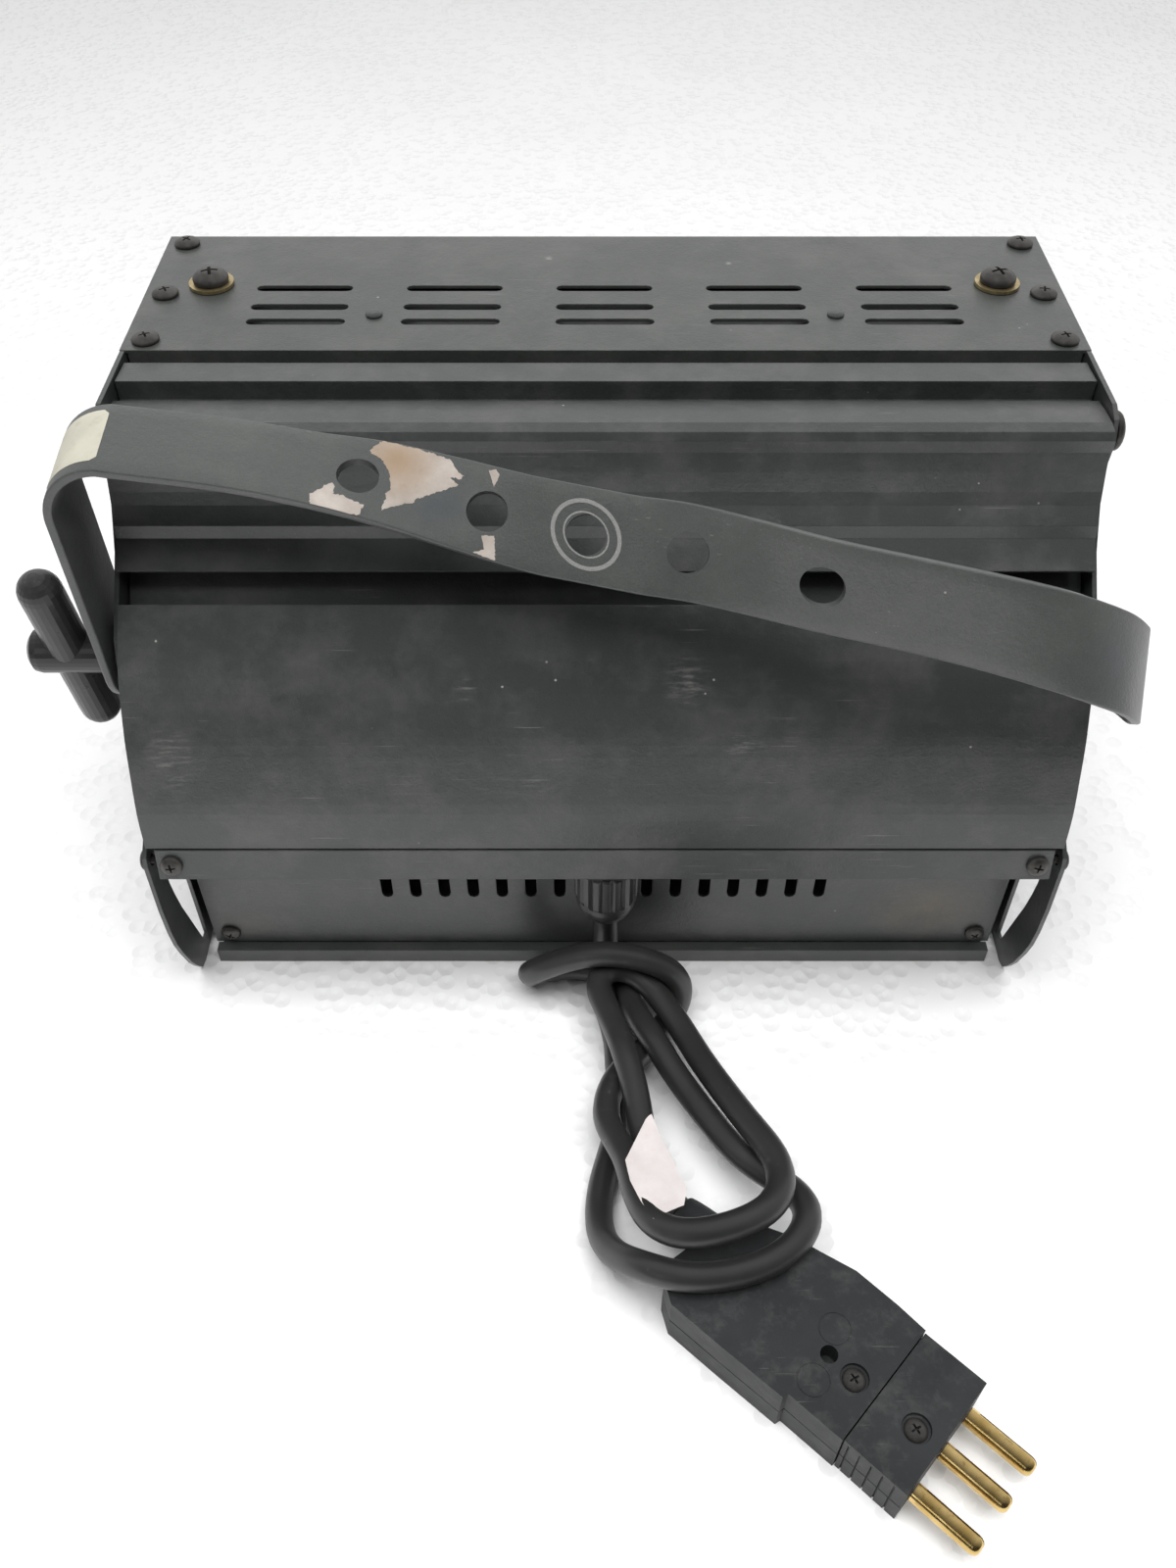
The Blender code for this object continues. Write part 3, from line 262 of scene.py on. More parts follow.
def steel(name, base, rough, metal, rust=0.25, bumps=0.25):
    g = Graph(name, Metallic=metal)
    col = g.mix(g.ramp(g.noise(220, 5, 0.6), (0.35, 0.0), (0.7, 1.0)), tuple(c * 0.7 for c in base), tuple(c * 1.3 for c in base))
    spots = g.math("MULTIPLY", g.ramp(g.noise(480, 5, 0.7), (0.56, 0.0), (0.68, 1.0)), rust)
    col = g.mix(spots, col, (0.16, 0.10, 0.055))
    g.colour(col)
    g.rough(g.math("ADD", g.math("MULTIPLY", g.noise(350, 4, 0.6), 0.25), rough - 0.12))
    g.bump((g.noise(900, 3, 0.6), bumps, 0.10), rounded=0.15)
    return g.mat


def plastic(name, base, rough, chalk=0.15, grain=0.3, scale=700, rounded=0.0, scratch=0.3):
    g = Graph(name)
    col = g.mix(g.ramp(g.noise(40, 5, 0.6), (0.3, 0.0), (0.7, 1.0)), tuple(c * 0.85 for c in base), tuple(c * 1.2 for c in base))
    dust = g.math("MULTIPLY", g.ramp(g.noise(90, 8, 0.75), (0.50, 0.0), (0.74, 1.0)), chalk)
    col = g.mix(dust, col, (0.22, 0.22, 0.21))
    lines = g.ramp(g.noise(1.0, 2, 0.5, g.mapping(scale=(60, 2200, 2200), rot=(0.4, 0.3, 0.5))), (0.68, 0.0), (0.72, 1.0))
    mask = g.ramp(g.noise(45, 2, 0.5), (0.52, 0.0), (0.60, 1.0))
    col = g.mix(g.math("MULTIPLY", g.math("MULTIPLY", lines, mask), scratch), col, (0.25, 0.25, 0.24))
    g.colour(col)
    g.rough(g.math("ADD", g.math("MULTIPLY", g.noise(120, 5, 0.6), 0.22), rough - 0.10))
    g.bump((g.noise(scale, 3, 0.6), grain, 0.12), rounded=rounded)
    return g.mat


BARE = bare_metal()
BLACKSTEEL = steel("black_oxide_steel", (0.085, 0.082, 0.078), 0.42, 0.75)
ZINC = steel("yellow_zinc", (0.46, 0.37, 0.20), 0.38, 0.9, rust=0.5)
PLAIN = steel("plain_steel", (0.45, 0.45, 0.45), 0.35, 0.95, rust=0.1)
NYLON = plastic("black_nylon", (0.017, 0.017, 0.017), 0.36, chalk=0.05, grain=0.15)
KNOB = plastic("handle_plastic", (0.020, 0.020, 0.020), 0.30, chalk=0.08, grain=0.22, scale=420)
PLUGM = plastic("plug_plastic", (0.020, 0.021, 0.022), 0.58, chalk=0.14, grain=0.30, scale=900)
CERAMIC = plastic("ceramic", (0.78, 0.76, 0.70), 0.35, chalk=0.0, grain=0.10, scratch=0.0)


def brass():
    g = Graph("pin_brass", Metallic=1.0)
    col = g.mix(g.ramp(g.noise(120, 5, 0.6), (0.35, 0.0), (0.7, 1.0)), (0.58, 0.40, 0.14), (0.80, 0.60, 0.27))
    tarnish = g.math("MULTIPLY", g.ramp(g.noise(260, 6, 0.7), (0.55, 0.0), (0.70, 1.0)), 0.5)
    g.colour(g.mix(tarnish, col, (0.22, 0.14, 0.06)))
    g.rough(g.math("ADD", g.math("MULTIPLY", g.noise(500, 3, 0.5), 0.12), 0.16))
    g.bump((g.noise(1.0, 2, 0.5, g.mapping(scale=(300, 3000, 3000), rot=(0, 0, 0.75))), 0.25, 0.05))
    return g.mat


def rubber():
    g = Graph("lead_rubber")
    g.set(**{"Specular IOR Level": 0.75})
    col = g.mix(g.ramp(g.noise(30, 5, 0.6), (0.3, 0.0), (0.7, 1.0)), (0.013, 0.0135, 0.013), (0.022, 0.023, 0.022))
    scuff = g.ramp(g.noise(95, 8, 0.78), (0.60, 0.0), (0.72, 1.0))
    patch = g.ramp(g.noise(22, 3, 0.5), (0.48, 0.0), (0.60, 1.0))
    col = g.mix(g.math("MULTIPLY", g.math("MULTIPLY", scuff, patch), 0.30), col, (0.16, 0.16, 0.155))
    g.colour(col)
    g.rough(g.math("ADD", g.math("MULTIPLY", g.noise(80, 5, 0.6), 0.22), 0.30))
    g.bump((g.noise(650, 4, 0.6), 0.28, 0.14), (g.noise(70, 3, 0.5), 0.20, 0.5))
    return g.mat


def paper(name, base, edge=(0.45, 0.40, 0.30)):
    g = Graph(name, Roughness=0.55)
    col = g.mix(g.ramp(g.noise(60, 6, 0.65), (0.35, 0.0), (0.75, 1.0)), base, tuple(c * 0.80 for c in base))
    grime = g.math("MULTIPLY", g.ramp(g.noise(200, 8, 0.7), (0.56, 0.0), (0.72, 1.0)), 0.45)
    g.colour(g.mix(grime, col, edge))
    g.bump((g.noise(500, 5, 0.6), 0.25, 0.08))
    return g.mat


def reflector():
    g = Graph("bright_aluminium", Metallic=1.0)
    col = g.mix(g.ramp(g.noise(20, 5, 0.6), (0.3, 0.0), (0.7, 1.0)), (0.72, 0.72, 0.72), (0.84, 0.84, 0.84))
    soot = g.math("MULTIPLY", g.ramp(g.noise(30, 7, 0.7), (0.52, 0.0), (0.74, 1.0)), 0.30)
    g.colour(g.mix(soot, col, (0.36, 0.34, 0.32)))
    g.rough(g.math("ADD", g.math("MULTIPLY", g.noise(60, 5, 0.6), 0.12), 0.14))
    g.bump((g.voronoi(170, feature="SMOOTH_F1"), 0.35, 0.5))
    return g.mat


def glass():
    g = Graph("quartz", Roughness=0.04)
    g.set(**{"Transmission Weight": 0.92, "IOR": 1.46})
    g.colour(g.mix(g.ramp(g.noise(50, 3, 0.5), (0.3, 0.0), (0.8, 1.0)), (0.95, 0.96, 0.96), (0.86, 0.88, 0.88)))
    return g.mat


BRASS, RUBBER, REFLECT, QUARTZ = brass(), rubber(), reflector(), glass()
STICKER = paper("blank_sticker", (0.43, 0.415, 0.345), edge=(0.28, 0.25, 0.19))
TAG = paper("blank_tag", (0.66, 0.61, 0.60), edge=(0.60, 0.50, 0.47))


def paint(mat, *names):
    for name in names:
        me = NODES[name].data
        me.materials.clear()
        me.materials.append(mat)


paint(HOUSING, "end_plate_left", "end_plate_right", "rear_extrusion_upper", "rear_extrusion_lower", "spine_channel", "wiring_cover",
      "front_frame", "colour_runner_left", "colour_runner_right", "colour_runner_bottom", "guard_frame", "rivet_left", "rivet_right")
paint(TOP, "vent_cover")
paint(PANEL, "lower_vent_panel", "base_pan")
paint(INSIDE, "vent_baffle")
paint(REFLECT, "main_reflector", "kick_reflector", "reflector_end_left", "reflector_end_right")
paint(QUARTZ, "halogen_lamp")
paint(CERAMIC, "lampholder_left", "lampholder_right", "terminal_block")
paint(NYLON, "gland_body", "gland_locknut", "gland_nut", "pivot_spacer_left", "pivot_spacer_right")
paint(PLAIN, "guard_hinge_pin")
paint(KNOB, "clamp_handle")
paint(ZINC, "washer_left", "washer_right")
paint(BLACKSTEEL, "pivot_bolt_right")


# ---------------------------------------------------------------- mesh helpers
def add(name, bm, mat, smooth=35):
    bmesh.ops.recalc_face_normals(bm, faces=bm.faces)
    me = bpy.data.meshes.new(name)
    bm.to_mesh(me)
    bm.free()
    me.shade_smooth()
    me.set_sharp_from_angle(angle=math.radians(smooth))
    ob = bpy.data.objects.new(name, me)
    scene.collection.objects.link(ob)
    me.materials.append(mat)
    return ob


def lathe(profile, origin, axis, steps=32, mat=None, name="lathe", smooth=35):
    """Turns (radius, distance) about an axis; open ends at radius 0 close themselves."""
    axis = Vector(axis).normalized()
    up = Vector((0, 0, 1)) if abs(axis.z) < 0.9 else Vector((1, 0, 0))
    u = axis.cross(up).normalized()
    v = axis.cross(u)
    o = Vector(origin)
    bm = bmesh.new()
    rings = []
    for r, d in profile:
        if r == 0:
            rings.append([bm.verts.new(o + axis * d)])
        else:
            rings.append([bm.verts.new(o + axis * d + (u * math.cos(a) + v * math.sin(a)) * r) for a in (2 * math.pi * k / steps for k in range(steps))])
    for a, b in zip(rings, rings[1:]):
        for i in range(steps):
            j = (i + 1) % steps
            if len(a) == 1:
                bm.faces.new((a[0], b[i], b[j]))
            elif len(b) == 1:
                bm.faces.new((a[i], a[j], b[0]))
            else:
                bm.faces.new((a[i], a[j], b[j], b[i]))
    for ring in (rings[0], rings[-1]):
        if len(ring) > 1:
            bm.faces.new(ring)
    return add(name, bm, mat or BLACKSTEEL, smooth)


def block(name, corners_low, depth, mat):
    """Prism over a loop of points, moved by the vector depth."""
    bm = bmesh.new()
    a = [bm.verts.new(p) for p in corners_low]
    b = [bm.verts.new(Vector(p) + depth) for p in corners_low]
    n = len(a)
    for i in range(n):
        j = (i + 1) % n
        bm.faces.new((a[i], a[j], b[j], b[i]))
    bm.faces.new(a)
    bm.faces.new(b)
    return add(name, bm, mat)


def carve(ob, tools, bevel=0.0, segments=2, smooth=35, angle=30):
    """Cuts the tools out of ob for good, rounds its edges and drops the tools."""
    for t in tools:
        m = ob.modifiers.new("cut", "BOOLEAN")
        m.operation = "DIFFERENCE"
        m.solver = "EXACT"
        m.object = t
    if bevel:
        m = ob.modifiers.new("round", "BEVEL")
        m.width, m.segments, m.limit_method, m.angle_limit = bevel, segments, "ANGLE", math.radians(angle)
        m.harden_normals = False
    dg = bpy.context.evaluated_depsgraph_get()
    me = bpy.data.meshes.new_from_object(ob.evaluated_get(dg))
    ob.modifiers.clear()
    old = ob.data
    ob.data = me
    me.name = ob.name
    me.shade_smooth()
    me.set_sharp_from_angle(angle=math.radians(smooth))
    bpy.data.meshes.remove(old)
    for t in tools:
        data = t.data
        bpy.data.objects.remove(t)
        bpy.data.meshes.remove(data)
    return ob


# ---------------------------------------------------------------- the lead
LEAD_R = 5.0
PLUG_H = 25.0
PLUG_HEADING = math.radians(-43.0)
PLUG_SEAM = np.array((87.5, -177.6))
heading = np.array((math.cos(PLUG_HEADING), math.sin(PLUG_HEADING)))
across = np.array((-heading[1], heading[0]))
LEAD_ROUTE = [
    (1, -5.4, 44.6), (1.1, -6.4, 22.5), (-0.4, -18, 12), (4.2, -34, 5.9), (6.6, -56.1, 5.2), (4.7, -79.9, 5.2),
    (-1.7, -103.3, 5.2), (-1.5, -122.5, 10.4), (6.8, -136.9, 23.2), (20.1, -145, 30.9), (40.7, -144.7, 30.6), (61, -136.5, 30.5),
    (69.8, -122.8, 29.5), (63, -110, 24.8), (48.8, -97.3, 20.8), (35.3, -75.6, 18), (22.6, -55.5, 18.5), (13.8, -38.5, 17.6),
    (10, -20.3, 11.5), (1.6, -7.9, 5.6), (-15.7, -4.2, 5.2), (-29, -10.3, 9.1), (-28.5, -17.8, 20.6), (-13.4, -17.9, 30.3),
    (7, -19.2, 34.3), (25.2, -21.5, 28.3), (31.1, -24.7, 14.8), (24.2, -33.2, 6.4), (15.1, -48.1, 10.4), (4.2, -62.8, 16),
    (0, -80.4, 18.5), (7.7, -99.4, 25), (11.7, -121.6, 33.2), (20.4, -134.7, 40), (38.6, -133.8, 41.3), (56.4, -124.5, 39.8),
    (60.1, -108.8, 34.8), (51.2, -87.9, 28.3), (39.6, -65.1, 22.6), (30, -42.5, 18.4), (19.9, -24.4, 19.6), (7, -16.7, 23.8),
    (-3.6, -22.1, 23.6), (1.9, -37.2, 22.8), (8, -58.7, 25.9), (12.7, -78.6, 21.4), (15.2, -97.8, 13.2), (20.5, -108.2, 12.5), (26.4, -113.7, 12.5),
]


def through(points, per=10):
    p = np.vstack([2 * points[0] - points[1], points, 2 * points[-1] - points[-2]])
    out = []
    for a, b, c, d in zip(p, p[1:], p[2:], p[3:]):
        ta = 0.0
        tb = ta + np.linalg.norm(b - a) ** 0.5
        tc = tb + np.linalg.norm(c - b) ** 0.5
        td = tc + np.linalg.norm(d - c) ** 0.5
        for t in np.linspace(tb, tc, per, endpoint=False):
            ab = a + (b - a) * (t - ta) / (tb - ta)
            bc = b + (c - b) * (t - tb) / (tc - tb)
            cd = c + (d - c) * (t - tc) / (td - tc)
            u = ab + (bc - ab) * (t - ta) / (tc - ta)
            v = bc + (cd - bc) * (t - tb) / (td - tb)
            out.append(u + (v - u) * (t - tb) / (tc - tb))
    out.append(points[-1])
    return np.array(out)


def even(line, step):
    run = np.r_[0.0, np.cumsum(np.linalg.norm(np.diff(line, axis=0), axis=1))]
    at = np.linspace(0.0, run[-1], int(round(run[-1] / step)) + 1)
    return np.stack([np.interp(at, run, line[:, i]) for i in range(3)], -1)


def settle(line, apart, rounds=260, skip=9, floor=LEAD_R + 0.2):
    """Eases an evenly spaced lead: bends spread, strands lie apart, nothing sinks into the floor."""
    start, c = line.copy(), line.copy()
    for _ in range(rounds):
        f = 0.02 * (start - c)
        f[2:-2] -= 0.5 * (c[4:] - 4 * c[3:-1] + 6 * c[2:-2] - 4 * c[1:-3] + c[:-4]) / 16
        d = np.diff(c, axis=0)
        run = np.linalg.norm(d, axis=1)
        pull = d / run[:, None] * ((run - run.mean()) * 0.3)[:, None]
        f[:-1] += pull
        f[1:] -= pull
        gap = c[:, None] - c[None]
        dist = np.linalg.norm(gap, axis=2)
        i, j = np.where(dist < apart)
        far = np.abs(i - j) >= skip
        i, j = i[far], j[far]
        if len(i):
            v = gap[i, j] * np.array([0.45, 0.45, 1.0])
            v /= np.linalg.norm(v, axis=1)[:, None]
            push, hits = np.zeros_like(c), np.zeros(len(c))
            np.add.at(push, i, v * ((apart - dist[i, j]) * 0.5)[:, None])
            np.add.at(hits, i, 1)
            f += 0.8 * push / np.sqrt(np.maximum(hits, 1))[:, None]
        c += f
        c[:, 2] = np.maximum(c[:, 2], floor)
        # it rides over the plug and stays behind the panel and the base
        q = c[:, :2] - PLUG_SEAM
        a, b = q @ heading, q @ across
        over = (a > -81) & (a < 4) & (b > -29) & (b < 27) & (c[:, 2] > 14)
        over[-12:] = False
        c[over, 2] = np.maximum(c[over, 2], PLUG_H + LEAD_R + 0.8)
        c[:, 1] = np.minimum(c[:, 1], np.where(c[:, 2] < 12.5, 2.5, 7.0) - LEAD_R - 0.4)
        c[:3], c[-3:] = start[:3], start[-3:]
    return c


line = even(settle(even(through(np.array(LEAD_ROUTE, dtype=float)), 3.0), 2 * LEAD_R + 1.0), 3.0)
for _ in range(8):
    line[1:-1] = 0.25 * line[:-2] + 0.5 * line[1:-1] + 0.25 * line[2:]
line = even(through(line, 3), 2.0)
LEAD = [P(*p) for p in line]
curve = bpy.data.curves.new("lead", "CURVE")
curve.dimensions = "3D"
curve.bevel_depth = LEAD_R * MM
curve.bevel_resolution = 6
curve.use_fill_caps = True
spline = curve.splines.new("POLY")
spline.points.add(len(LEAD) - 1)
for point, at in zip(spline.points, LEAD):
    point.co = (*at, 1.0)
curve.splines[0].use_smooth = True
curve.materials.append(RUBBER)
lead = bpy.data.objects.new("lead", curve)
scene.collection.objects.link(lead)
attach(lead, "housing")
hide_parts("supply_lead")


# ---------------------------------------------------------------- plug
def plug_at(a, b, h):
    return P(PLUG_SEAM[0] + heading[0] * a + across[0] * b, PLUG_SEAM[1] + heading[1] * a + across[1] * b, h)


H3 = Vector((heading[0], heading[1], 0.0))
B3 = Vector((across[0], across[1], 0.0))
UP = Vector((0.0, 0.0, 1.0))
REAR_END = -78.0
PLUG_BODY = [(-0.4, -22.6), (-20.9, -23.0), (-21.5, -25.0), (-46, -26.0), (-66, -26.5), (-73, -22), (-75.5, -14), (-74, -6), (-70, 7), (-66, 12), (-60, 15.5), (-50, 19.5), (-41, 21.2), (-28.2, 24), (-11.5, 23.8), (-0.4, 23)]


def parting(loop, h, inset=0.35, tall=0.5):
    """A thin wall just inside the outline, to cut the parting line round a moulding."""
    bm = bmesh.new()
    n = len(loop)
    outer, inner = [], []
    for k in range(n):
        p, q, r = (Vector(loop[(k + d) % n]) for d in (-1, 0, 1))
        e1, e2 = (q - p).normalized(), (r - q).normalized()
        m = Vector((-(e1.y + e2.y), e1.x + e2.x)).normalized()
        outer.append(q - m * 0.8)
        inner.append(q + m * inset)
    area = sum(Vector(loop[k - 1]).cross(Vector(loop[k])) for k in range(n))
    if area < 0:
        outer, inner = [Vector(q) * 2 - o for q, o in zip(loop, outer)], [Vector(q) * 2 - i for q, i in zip(loop, inner)]
    rows = []
    for ring, hh in ((outer, h), (outer, h + tall), (inner, h + tall), (inner, h)):
        rows.append([bm.verts.new(plug_at(v.x, v.y, hh)) for v in ring])
    for r in range(4):
        a, b = rows[r], rows[(r + 1) % 4]
        for i in range(n):
            j = (i + 1) % n
            bm.faces.new((a[i], a[j], b[j], b[i]))
    return add("parting_tool", bm, PLUGM)


def cylinder_tool(a, b, h0, h1, r, steps=32):
    return lathe([(r * MM, h0 * MM), (r * MM, h1 * MM)], plug_at(a, b, 0), UP, steps, name="tool")


def plug_from_px(u, v, h=PLUG_H):
    """Plug coordinates of a point of its top seen at this place in the frame."""
    s = (75.5 - 0.682 * h - (v - 800.0) / 1385.0 * (565.0 - 0.7314 * h)) / (0.7314 + 0.682 * (v - 800.0) / 1385.0)
    z = 565.0 - 0.7314 * h + 0.682 * s
    x = (u - 600.0) * z / 1385.0 - 6.0
    q = np.array((x, s)) - PLUG_SEAM
    return float(q @ heading), float(q @ across)


body = block("plug_shell", [plug_at(a, b, 0.0) for a, b in PLUG_BODY], UP * PLUG_H * MM, PLUGM)
screw_1, screw_2 = plug_from_px(872.3, 1405.7), plug_from_px(935.9, 1456.7)
hole_at, mark_1, mark_2 = plug_from_px(846.2, 1381.2), plug_from_px(830.0, 1407.8), plug_from_px(852.0, 1355.5)
tools = [cylinder_tool(*screw_1, PLUG_H - 1.7, PLUG_H + 2, 4.7), cylinder_tool(*hole_at, PLUG_H - 9, PLUG_H + 2, 2.9)]
for spot in (mark_1, mark_2):
    bm_ring = lathe([(5.0 * MM, (PLUG_H - 0.25) * MM), (5.4 * MM, (PLUG_H - 0.25) * MM), (5.4 * MM, (PLUG_H + 1) * MM), (5.0 * MM, (PLUG_H + 1) * MM)], plug_at(*spot, 0), UP, 40, name="tool")
    # the ring closes on itself instead of being capped
    me = bm_ring.data
    bm = bmesh.new()
    bm.from_mesh(me)
    caps = [f for f in bm.faces if len(f.verts) > 4]
    bmesh.ops.delete(bm, geom=caps, context="FACES_ONLY")
    bmesh.ops.bridge_loops(bm, edges=[e for e in bm.edges if e.is_boundary])
    bmesh.ops.recalc_face_normals(bm, faces=bm.faces)
    bm.to_mesh(me)
    bm.free()
    tools.append(bm_ring)
tools.append(parting(PLUG_BODY, 11.6))
carve(body, tools, bevel=0.9 * MM, segments=3, angle=28)
boss = lathe([(0, -12 * MM), (8.0 * MM, -12 * MM), (8.0 * MM, -6 * MM), (7.8 * MM, 0), (7.4 * MM, 4 * MM), (6.9 * MM, 8 * MM), (6.3 * MM, 11.2 * MM), (5.9 * MM, 11.7 * MM), (0, 11.7 * MM)],
             plug_at(REAR_END + 2, 5.0, 12.5), -H3, 40, PLUGM, "plug_boss")
face_loop = [(-0.05, -22.0), (22.8, -22.0), (22.8, 22.4), (-0.05, 22.4)]
face = block("plug_front", [plug_at(a, b, 0.0) for a, b in face_loop], UP * (PLUG_H - 0.4) * MM, PLUGM)
tools = [cylinder_tool(*screw_2, PLUG_H - 2.1, PLUG_H + 2, 4.7)]
for a in (1.9, 6.0, 10.3, 14.4, 18.6):
    for b, side in ((-22.0, -1), (22.4, 1)):
        tools.append(block("tool", [plug_at(a - 0.28, b - 0.8 * side, -1), plug_at(a + 0.28, b - 0.8 * side, -1), plug_at(a + 0.28, b + 1.5 * side, -1), plug_at(a - 0.28, b + 1.5 * side, -1)], UP * (PLUG_H - 1.6) * MM, PLUGM))
tools.append(block("tool", [plug_at(-1, -22.0 - 1.5, 11.4), plug_at(-1, -21.7, 11.4), plug_at(24, -21.7, 11.4), plug_at(24, -22.0 - 1.5, 11.4)], UP * 0.5 * MM, PLUGM))
carve(face, tools, bevel=0.7 * MM, segments=3, angle=28)
for ob in (body, face):
    m = ob.modifiers.new("weighted", "WEIGHTED_NORMAL")
    m.keep_sharp = True
    m.weight = 100


# ---------------------------------------------------------------- cross-head fasteners
def cross_head(name, head_r, head_t, recess, mat, washer=0.0, steps=40):
    """A domed screw with a cross recess, head up along +Z with its underside at 0."""
    prof = [(0, head_t)]
    for k in range(1, 9):
        a = math.radians(90 - 80 * k / 8)
        prof.append((head_r * math.cos(a) / math.cos(math.radians(10)), head_t * (0.22 + 0.78 * math.sin(a) ** 1.1)))
    prof += [(head_r, head_t * 0.16), (head_r * 0.985, 0), (head_r * 0.4, 0), (head_r * 0.4, -3.0), (0, -3.0)]
    ob = lathe([(r * MM, d * MM) for r, d in prof], (0, 0, 0), (0, 0, 1), steps, mat, name)
    tools = []
    for turn in (0, math.pi / 2):
        w, l, d = recess * 0.17, recess, head_t * 0.75
        bm = bmesh.new()
        lo = [(-l * 0.35, -w * 0.6), (l * 0.35, -w * 0.6), (l * 0.35, w * 0.6), (-l * 0.35, w * 0.6)]
        hi = [(-l, -w), (l, -w), (l, w), (-l, w)]
        c, s = math.cos(turn), math.sin(turn)
        a = [bm.verts.new(((x * c - y * s) * MM, (x * s + y * c) * MM, (head_t - d) * MM)) for x, y in lo]
        b = [bm.verts.new(((x * c - y * s) * MM, (x * s + y * c) * MM, (head_t + 0.6) * MM)) for x, y in hi]
        for i in range(4):
            j = (i + 1) % 4
            bm.faces.new((a[i], a[j], b[j], b[i]))
        bm.faces.new(a)
        bm.faces.new(b)
        tools.append(add("tool", bm, mat))
    carve(ob, tools, smooth=40)
    return ob


rng = random.Random(7)


def place(model, name, at, out, node, body_name="housing", lean=0.0):
    ob = bpy.data.objects.new(name, model.data)
    q = Vector((0, 0, 1)).rotation_difference(Vector(out))
    ob.matrix_world = Matrix.Translation(P(*at)) @ q.to_matrix().to_4x4() @ Matrix.Rotation(rng.uniform(0, math.pi), 4, "Z")
    scene.collection.objects.link(ob)
    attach(ob, body_name)
    if node:
        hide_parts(node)
    return ob


GAP = 0.3
TRUSS = cross_head("truss_model", 4.85, 2.3, 2.5, BLACKSTEEL)
PAN = cross_head("pan_model", 4.0, 2.4, 2.3, BLACKSTEEL)
BIG = cross_head("big_model", 6.5, 4.2, 3.7, BLACKSTEEL)
DOMED = cross_head("dome_model", 6.5, 3.6, 3.2, BLACKSTEEL)
STRIP_TOP, STRIP_LOW = (-14.9, 91.9), (-18.0, 79.5)
strip_n = Vector((STRIP_LOW[1] - STRIP_TOP[1], STRIP_TOP[0] - STRIP_LOW[0])).normalized()
strip_out = Vector((0.0, strip_n.x, strip_n.y))
strip_mid = ((STRIP_TOP[0] + STRIP_LOW[0]) / 2, (STRIP_TOP[1] + STRIP_LOW[1]) / 2)
for side, sx in (("left", -1), ("right", 1)):
    for k, s in enumerate((177.0, 137.3, 104.6)):
        place(TRUSS, "cover_screw_cross_%s_%d" % (side, k + 1), (sx * 159.8, s, 225.0 + GAP), (0, 0, 1), "cover_screw_%s_%d" % (side, k + 1))
    place(BIG, "lid_screw_cross_" + side, (sx * 144.3, 144.8, 225.0 + 2 * GAP + 1.2), (0, 0, 1), "lid_screw_" + side)
    at = Vector((sx * 156.6, *strip_mid)) + strip_out * GAP
    place(PAN, "strip_screw_cross_" + side, at, strip_out, "wiring_cover_screw_" + side)
    place(PAN, "panel_screw_cross_" + side, (sx * 153.0, 7.0 - GAP, 14.5), (0, -1, 0), "panel_screw_" + side)
    place(DOMED, "corner_screw_cross_" + side, (sx * (167.2 + GAP), 62.0, 216.2), (sx, 0, 0), "corner_screw_" + side)
    place(PAN, "side_screw_cross_" + side, (sx * (167.2 + GAP), -11.0, 82.5), (sx, 0, 0), "side_screw_" + side)


def plug_screw(name, spot, h):
    ob = place(PAN, name, (0, 0, 0), (0, 0, 1), None)
    return ob


for name, spot, h in (("plug_screw_rear", screw_1, PLUG_H - 2.4), ("plug_screw_front", screw_2, PLUG_H - 2.8)):
    ob = bpy.data.objects.new(name, PAN.data)
    ob.matrix_world = Matrix.Translation(plug_at(*spot, h)) @ Matrix.Rotation(0.5, 4, "Z") @ Matrix.Scale(0.97, 4)
    scene.collection.objects.link(ob)
    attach(ob, "housing")
for model in (TRUSS, PAN, BIG, DOMED):
    bpy.data.objects.remove(model)

# brass pins, each split lengthways
for name, b in (("earth", -15.6), ("middle", 0.4), ("line", 14.6)):
    at = plug_at(22.8 + GAP, b, 13.0)
    prof = [(0, 0), (3.0, 0), (3.175, 0.2), (3.175, 21.6), (3.0, 22.5), (2.6, 23.3), (1.9, 23.8), (1.2, 24.0), (0, 24.0)]
    pin = lathe([(r * MM, d * MM) for r, d in prof], at, H3, 40, BRASS, "pin_" + name)
    slot_n = (B3 * 0.74 + UP * 0.67).normalized()
    slot_t = H3.cross(slot_n).normalized()
    half = slot_t * 0.42 * MM
    base = at + H3 * 3.0 * MM + slot_n * 0.4 * MM
    tool = block("tool", [base - half, base + half, base + half + slot_n * 4 * MM, base - half + slot_n * 4 * MM], H3 * 26 * MM, BRASS)
    carve(pin, [tool], smooth=40)
    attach(pin, "housing")
    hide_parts("plug_pin_" + name)
for ob, node in ((body, "plug_body"), (boss, None), (face, "plug_face")):
    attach(ob, "housing")
    if node:
        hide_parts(node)
# a blank folded paper flag on the lead, seen here in the frame at these places and heights
def from_px(u, v, h):
    k = (v - 800.0) / 1385.0
    s = (75.5 - 0.682 * h - k * (565.0 - 0.7314 * h)) / (0.7314 + 0.682 * k)
    z = 565.0 - 0.7314 * h + 0.682 * s
    return (u - 600.0) * z / 1385.0 - 6.0, s, h


